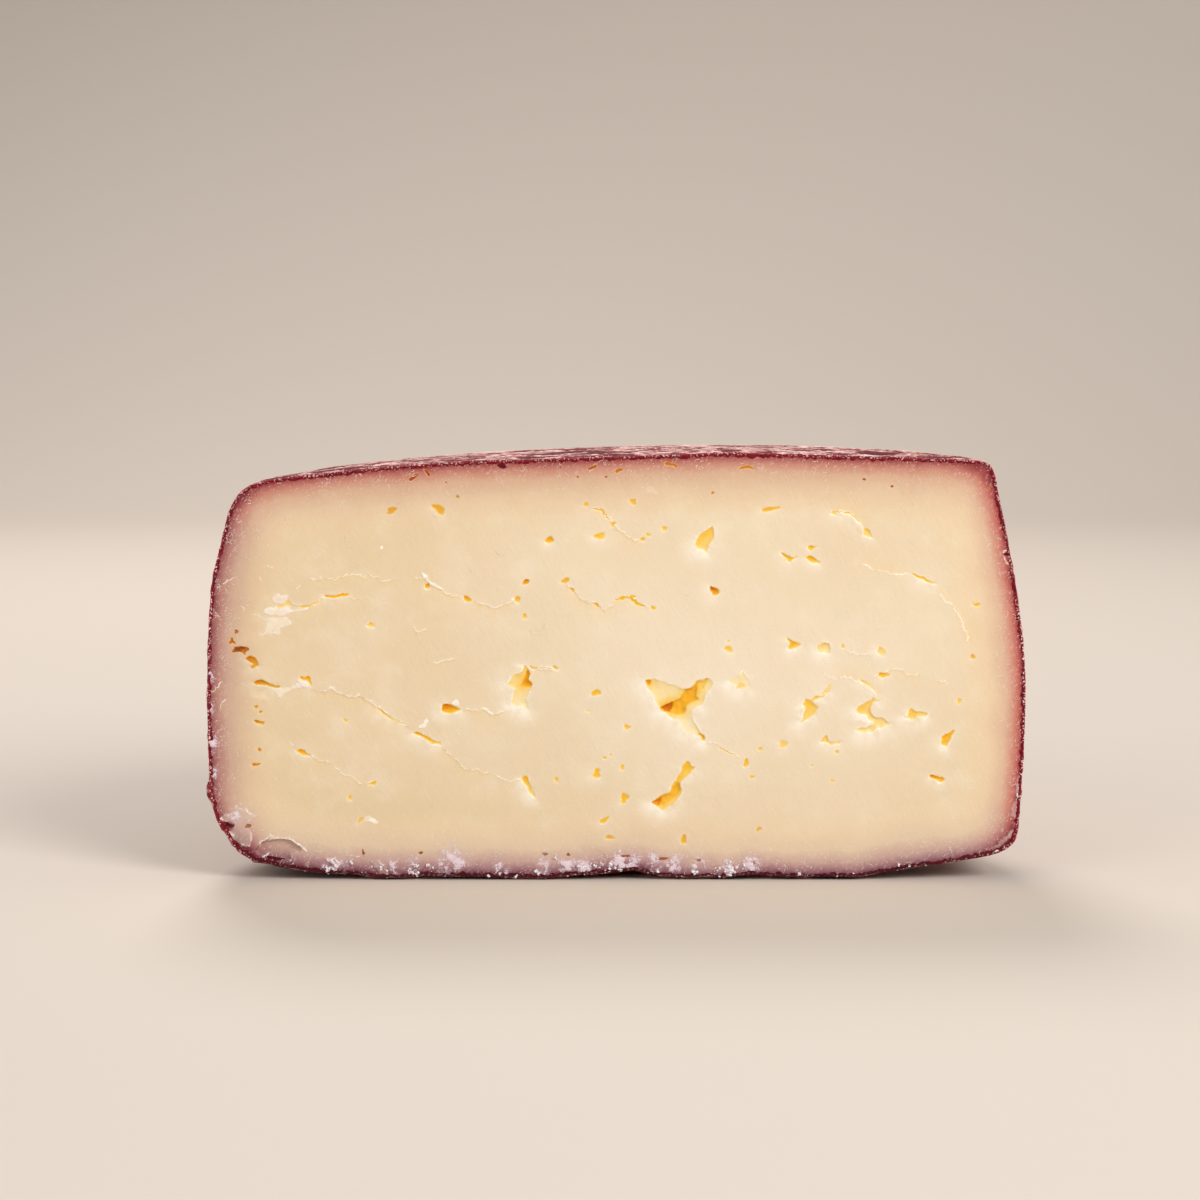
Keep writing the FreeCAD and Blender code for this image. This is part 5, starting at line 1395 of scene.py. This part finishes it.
def rind_material():
    g = Graph("wine_rind")
    fine = g.noise(0.8, 3)
    patchy = g.noise(4.5, 3)
    broad = g.noise(24, 2)
    speck = g.noise(0.5, 2)
    bloom = g.noise(1.8, 5, 0.65)
    crest = g.mark("crest") * (0.92 - g.mark("wall") * 0.22) + (fine - 0.5) * 0.5
    crest = crest + (patchy - 0.5) * 0.5 + (bloom - 0.5) * 0.9
    skin = crest.ramp((0, (80, 16, 28)), (0.32, (110, 38, 44)), (0.48, (164, 94, 90)),
                      (0.66, (222, 176, 166)), (0.92, (248, 226, 216)))
    skin = g.mix(broad.between(0.4, 0.65) * 0.3, skin, (116, 32, 40))
    across = g.mark("across") + (fine - 0.5) * 0.3
    cut = across.ramp((0, (150, 46, 50)), (0.2, (150, 48, 54)), (0.34, (136, 32, 44)),
                      (0.5, (118, 20, 34)), (0.9, (118, 22, 34)), (1.2, (128, 36, 42)), span=1.6)
    dark = g.noise(0.7, 2).between(0.5, 0.6) * across.between(0.1, 0.3)
    cut = g.mix(dark * (0.6 - g.mark("upper") * 0.3), cut, (60, 4, 18))
    outer = 1.0 - across.between(0.35, 0.9)
    pale = speck.between(0.55, 0.59) * outer * patchy.between(0.38, 0.52)
    cut = g.mix(pale * (0.95 - g.mark("upper") * 0.35), cut, (250, 214, 206))
    # Painted shadow: the cut edge of the rind is darkened along the foot, below the walls, where it meets
    # the board.
    cut = g.mix((1.0 - g.mark("upper")) * (1.0 - g.mark("wall")) * 0.85, cut, (62, 10, 20))
    colour = g.mix(g.mark("across").between(0.02, 0.1), skin, cut)
    normal = g.bump(fine * 0.6 + g.noise(0.35, 2) * 0.4, 0.6, 0.3)
    return g.finish(colour, 0.65 + patchy * 0.25, normal, Specular_IOR_Level=0.12)


def plain_material(name, first, second, size=0.8, **fixed):
    g = Graph(name)
    colour = g.mix(g.noise(size, 2).between(0.35, 0.65), first, second)
    return g.finish(colour, 0.55, None, **fixed)


# ------------------------------------------------- crumbs, grains and curls of paste
def grain_shape(name, parts, squash, seed):
    """One irregular bit about 1 mm across: a few shards grown together."""
    mesh = bpy.data.meshes.new(name)
    ball = bmesh.new()
    dice = rng(seed)
    for part in range(parts):
        made = bmesh.ops.create_icosphere(ball, subdivisions=1, radius=(0.5 if parts == 1 else 0.36) * MM)
        shift = Vector(dice.uniform(-0.3, 0.3, 3)) * MM * (part > 0)
        long = Vector(dice.uniform(0.55, 1.35, 3))
        for vert in made["verts"]:
            bulge = dice.uniform(0.7, 1.25)
            here = Vector((vert.co.x * long.x, vert.co.y * long.y, vert.co.z * long.z * squash))
            vert.co = here * bulge + shift
    ball.to_mesh(mesh)
    ball.free()
    mesh.shade_smooth()
    return bpy.data.objects.new(name, mesh)


def curl_shape(name, long, thick, seed):
    """A sliver of paste, bent up from the face at its ends."""
    dice = rng(seed)
    count = 7
    bend = dice.uniform(0.5, 1.3)
    points, faces = [], []
    for i in range(count):
        s = i / (count - 1)
        x = (s - 0.5) * long
        y = 0.2 * long * bend * math.sin(math.pi * s) + dice.uniform(-0.06, 0.06)
        z = 0.03 * math.cos(2 * math.pi * s)
        half = thick * (0.35 + math.sin(math.pi * s)) / 2
        for turn in (0.5, 2.6, 4.7):
            points.append((x, y + half * math.cos(turn), z + half * math.sin(turn)))
    for i in range(count - 1):
        for k in range(3):
            a, b = 3 * i + k, 3 * i + (k + 1) % 3
            faces.append((a, b, b + 3, a + 3))
    faces += [(2, 1, 0), (3 * count - 3, 3 * count - 2, 3 * count - 1)]
    mesh = bpy.data.meshes.new(name)
    mesh.from_pydata([tuple(c * MM for c in p) for p in points], [], faces)
    mesh.shade_smooth()
    return bpy.data.objects.new(name, mesh)


def scatter_tree():
    """Points on a surface by a density mark, each with one of the shapes on it."""
    tree = bpy.data.node_groups.new("scatter", "GeometryNodeTree")
    face = tree.interface
    face.new_socket("Geometry", in_out="OUTPUT", socket_type="NodeSocketGeometry")
    for name, kind in (("Geometry", "Geometry"), ("Density", "Float"), ("Seed", "Int"),
                       ("Shapes", "Collection"), ("Low", "Float"), ("High", "Float"),
                       ("Lean", "Float"), ("Material", "Material")):
        face.new_socket(name, in_out="INPUT", socket_type="NodeSocket" + kind)
    given = tree.nodes.new("NodeGroupInput").outputs
    make, link = tree.nodes.new, tree.links.new
    spread = make("GeometryNodeDistributePointsOnFaces")
    link(given["Geometry"], spread.inputs["Mesh"])
    link(given["Density"], spread.inputs["Density"])
    link(given["Seed"], spread.inputs["Seed"])
    spin = make("FunctionNodeRandomValue")
    spin.data_type = "FLOAT_VECTOR"
    lows, highs = make("ShaderNodeCombineXYZ"), make("ShaderNodeCombineXYZ")
    flip = make("ShaderNodeMath")
    flip.operation = "MULTIPLY"
    flip.inputs[1].default_value = -1.0
    link(given["Lean"], flip.inputs[0])
    for way in ("X", "Y"):
        link(flip.outputs[0], lows.inputs[way])
        link(given["Lean"], highs.inputs[way])
    highs.inputs["Z"].default_value = 2 * math.pi
    link(lows.outputs[0], spin.inputs[0])
    link(highs.outputs[0], spin.inputs[1])
    turn, whole = make("FunctionNodeEulerToRotation"), make("FunctionNodeRotateRotation")
    whole.rotation_space = "LOCAL"
    link(spin.outputs[0], turn.inputs[0])
    link(spread.outputs["Rotation"], whole.inputs["Rotation"])
    link(turn.outputs[0], whole.inputs["Rotate By"])
    size = make("FunctionNodeRandomValue")
    link(given["Low"], size.inputs[2])
    link(given["High"], size.inputs[3])
    shapes, place = make("GeometryNodeCollectionInfo"), make("GeometryNodeInstanceOnPoints")
    shapes.inputs["Separate Children"].default_value = True
    shapes.inputs["Reset Children"].default_value = True
    link(given["Shapes"], shapes.inputs["Collection"])
    link(spread.outputs["Points"], place.inputs["Points"])
    link(shapes.outputs[0], place.inputs["Instance"])
    place.inputs["Pick Instance"].default_value = True
    link(whole.outputs[0], place.inputs["Rotation"])
    link(size.outputs[1], place.inputs["Scale"])
    real, paint = make("GeometryNodeRealizeInstances"), make("GeometryNodeSetMaterial")
    link(place.outputs[0], real.inputs[0])
    link(real.outputs[0], paint.inputs["Geometry"])
    link(given["Material"], paint.inputs["Material"])
    link(paint.outputs[0], make("NodeGroupOutput").inputs[0])
    return tree


def scatter(name, ground, mark, shapes, seed, low, high, lean, material):
    """A mesh piece of small shapes strewn over another piece by one of its marks."""
    bag = bpy.data.collections.new(name)
    for shape in shapes:
        bag.objects.link(shape)
    holder = put(name + "_ground", ground.data)
    change = holder.modifiers.new("scatter", "NODES")
    change.node_group = bpy.data.node_groups.get("scatter") or scatter_tree()
    named = {item.name: item.identifier for item in change.node_group.interface.items_tree
             if item.in_out == "INPUT"}
    change[named["Density"] + "_use_attribute"] = True
    change[named["Density"] + "_attribute_name"] = mark
    for key, value in (("Seed", seed), ("Shapes", bag), ("Low", low), ("High", high), ("Lean", lean),
                       ("Material", material)):
        change[named[key]] = value
    graph = bpy.context.evaluated_depsgraph_get()
    mesh = bpy.data.meshes.new_from_object(holder.evaluated_get(graph))
    bpy.data.objects.remove(holder)
    for shape in shapes:
        bpy.data.objects.remove(shape)
    bpy.data.collections.remove(bag)
    mesh.name = name
    for layer in [a.name for a in mesh.attributes if a.name in ("across", "crest", "upper", "wall")]:
        mesh.attributes.remove(mesh.attributes[layer])
    return put(name, mesh)


def strew(paste, rind):
    """All the loose bits the knife left on the cheese."""
    white = plain_material("white_grains", (250, 240, 224), (240, 224, 200), Subsurface_Weight=0.2,
                           Subsurface_Scale=0.6 * MM)
    lilac = plain_material("stained_grains", (236, 214, 218), (250, 240, 240), Subsurface_Weight=0.2,
                           Subsurface_Scale=0.6 * MM)
    rose = plain_material("rind_flecks", (246, 214, 206), (214, 150, 146))
    grains = [grain_shape("grain_%d" % n, 1, 0.6, n) for n in range(4)]
    curls = [curl_shape("curl_%d" % n, 0.6 + 0.25 * n, 0.085, n) for n in range(5)]
    crumbs = [grain_shape("crumb_%d" % n, 4, 0.8, 10 + n) for n in range(6)]
    flecks = [grain_shape("fleck_%d" % n, 2, 0.7, 20 + n) for n in range(4)]
    dress(scatter("cheese_grains", paste, "grains", grains, 1, 0.1, 0.26, 0.4, white))
    dress(scatter("cheese_curls", paste, "curls", curls, 2, 0.5, 1.3, 0.15, white))
    dress(scatter("cheese_crumbs", paste, "crumbs", crumbs, 3, 0.25, 0.95, 0.9, lilac))
    dress(scatter("cheese_flecks", rind, "flecks", flecks, 4, 0.2, 0.65, 0.6, rose))


# --------------------------------------------------------------------------- stage
CAMERA_X, CAMERA_AWAY, CAMERA_Z = -3.5, 615.7, 126.0     # mm; away from the cut
CAMERA_DOWN = 5.92                        # degrees below level
LENS = 85.0


def floor_and_backdrop():
    """One sheet that runs under the cheese and curves up far behind it."""
    front, back, wide, tall, bend = -1.4, 1.5, 3.0, 2.4, 0.5
    profile = [(front, 0.0), (back - bend, 0.0)]
    for i in range(1, 17):
        turn = math.pi / 2 * i / 16
        profile.append((back - bend + bend * math.sin(turn), bend - bend * math.cos(turn)))
    profile.append((back, tall))
    points = [(x, y, z) for y, z in profile for x in (-wide, wide)]
    faces = [(2 * i, 2 * i + 1, 2 * i + 3, 2 * i + 2) for i in range(len(profile) - 1)]
    g = Graph("pale_floor")
    material = g.finish((214, 201, 188), 0.8, None, Specular_IOR_Level=0.2)
    mesh = bpy.data.meshes.new("floor")
    mesh.from_pydata(points, [], faces)
    mesh.shade_smooth()
    mesh.materials.append(material)
    put("floor", mesh)


def lamp(name, place, target, size, power, colour):
    light = bpy.data.lights.new(name, "AREA")
    light.shape = "DISK"
    light.size = size
    light.energy = power
    light.color = colour
    holder = put(name, light)
    holder.location = place
    way = Vector(target) - Vector(place)
    holder.rotation_euler = way.to_track_quat("-Z", "Y").to_euler()


def lights_and_camera():
    scene = bpy.context.scene
    lamp("key", (0.8, -0.9, 0.8), (0, 0, 0.05), 0.7, 13.3, (0.99, 1.0, 1.0))
    lamp("fill", (-0.9, -0.9, 0.7), (0, 0, 0.04), 0.9, 3.6, (0.99, 1.0, 1.0))
    lamp("back", (-0.2, 0.8, 1.0), (0, 0, 0.08), 0.6, 9.0, (1.0, 0.98, 0.97))
    world = bpy.data.worlds.new("studio")
    scene.world = world
    world.use_nodes = True
    shade = world.node_tree.nodes["Background"]
    shade.inputs["Color"].default_value = (0.88, 0.91, 0.95, 1.0)
    shade.inputs["Strength"].default_value = 0.45
    camera = bpy.data.cameras.new("camera")
    camera.lens = LENS
    camera.sensor_width = 36.0
    holder = put("camera", camera)
    holder.location = (CAMERA_X * MM, (CUT_Y - CAMERA_AWAY) * MM, CAMERA_Z * MM)
    holder.rotation_euler = (math.radians(90 - CAMERA_DOWN), 0.0, 0.0)
    scene.camera = holder
    scene.view_settings.view_transform = "Standard"


# ---------------------------------------------------------------------------- main
wheel = Wheel(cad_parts[NODE])
paste = make_paste(wheel, paste_material())
dress(paste)
rind = make_rind(wheel, rind_material())
dress(rind)
strew(paste, rind)
floor_and_backdrop()
lights_and_camera()
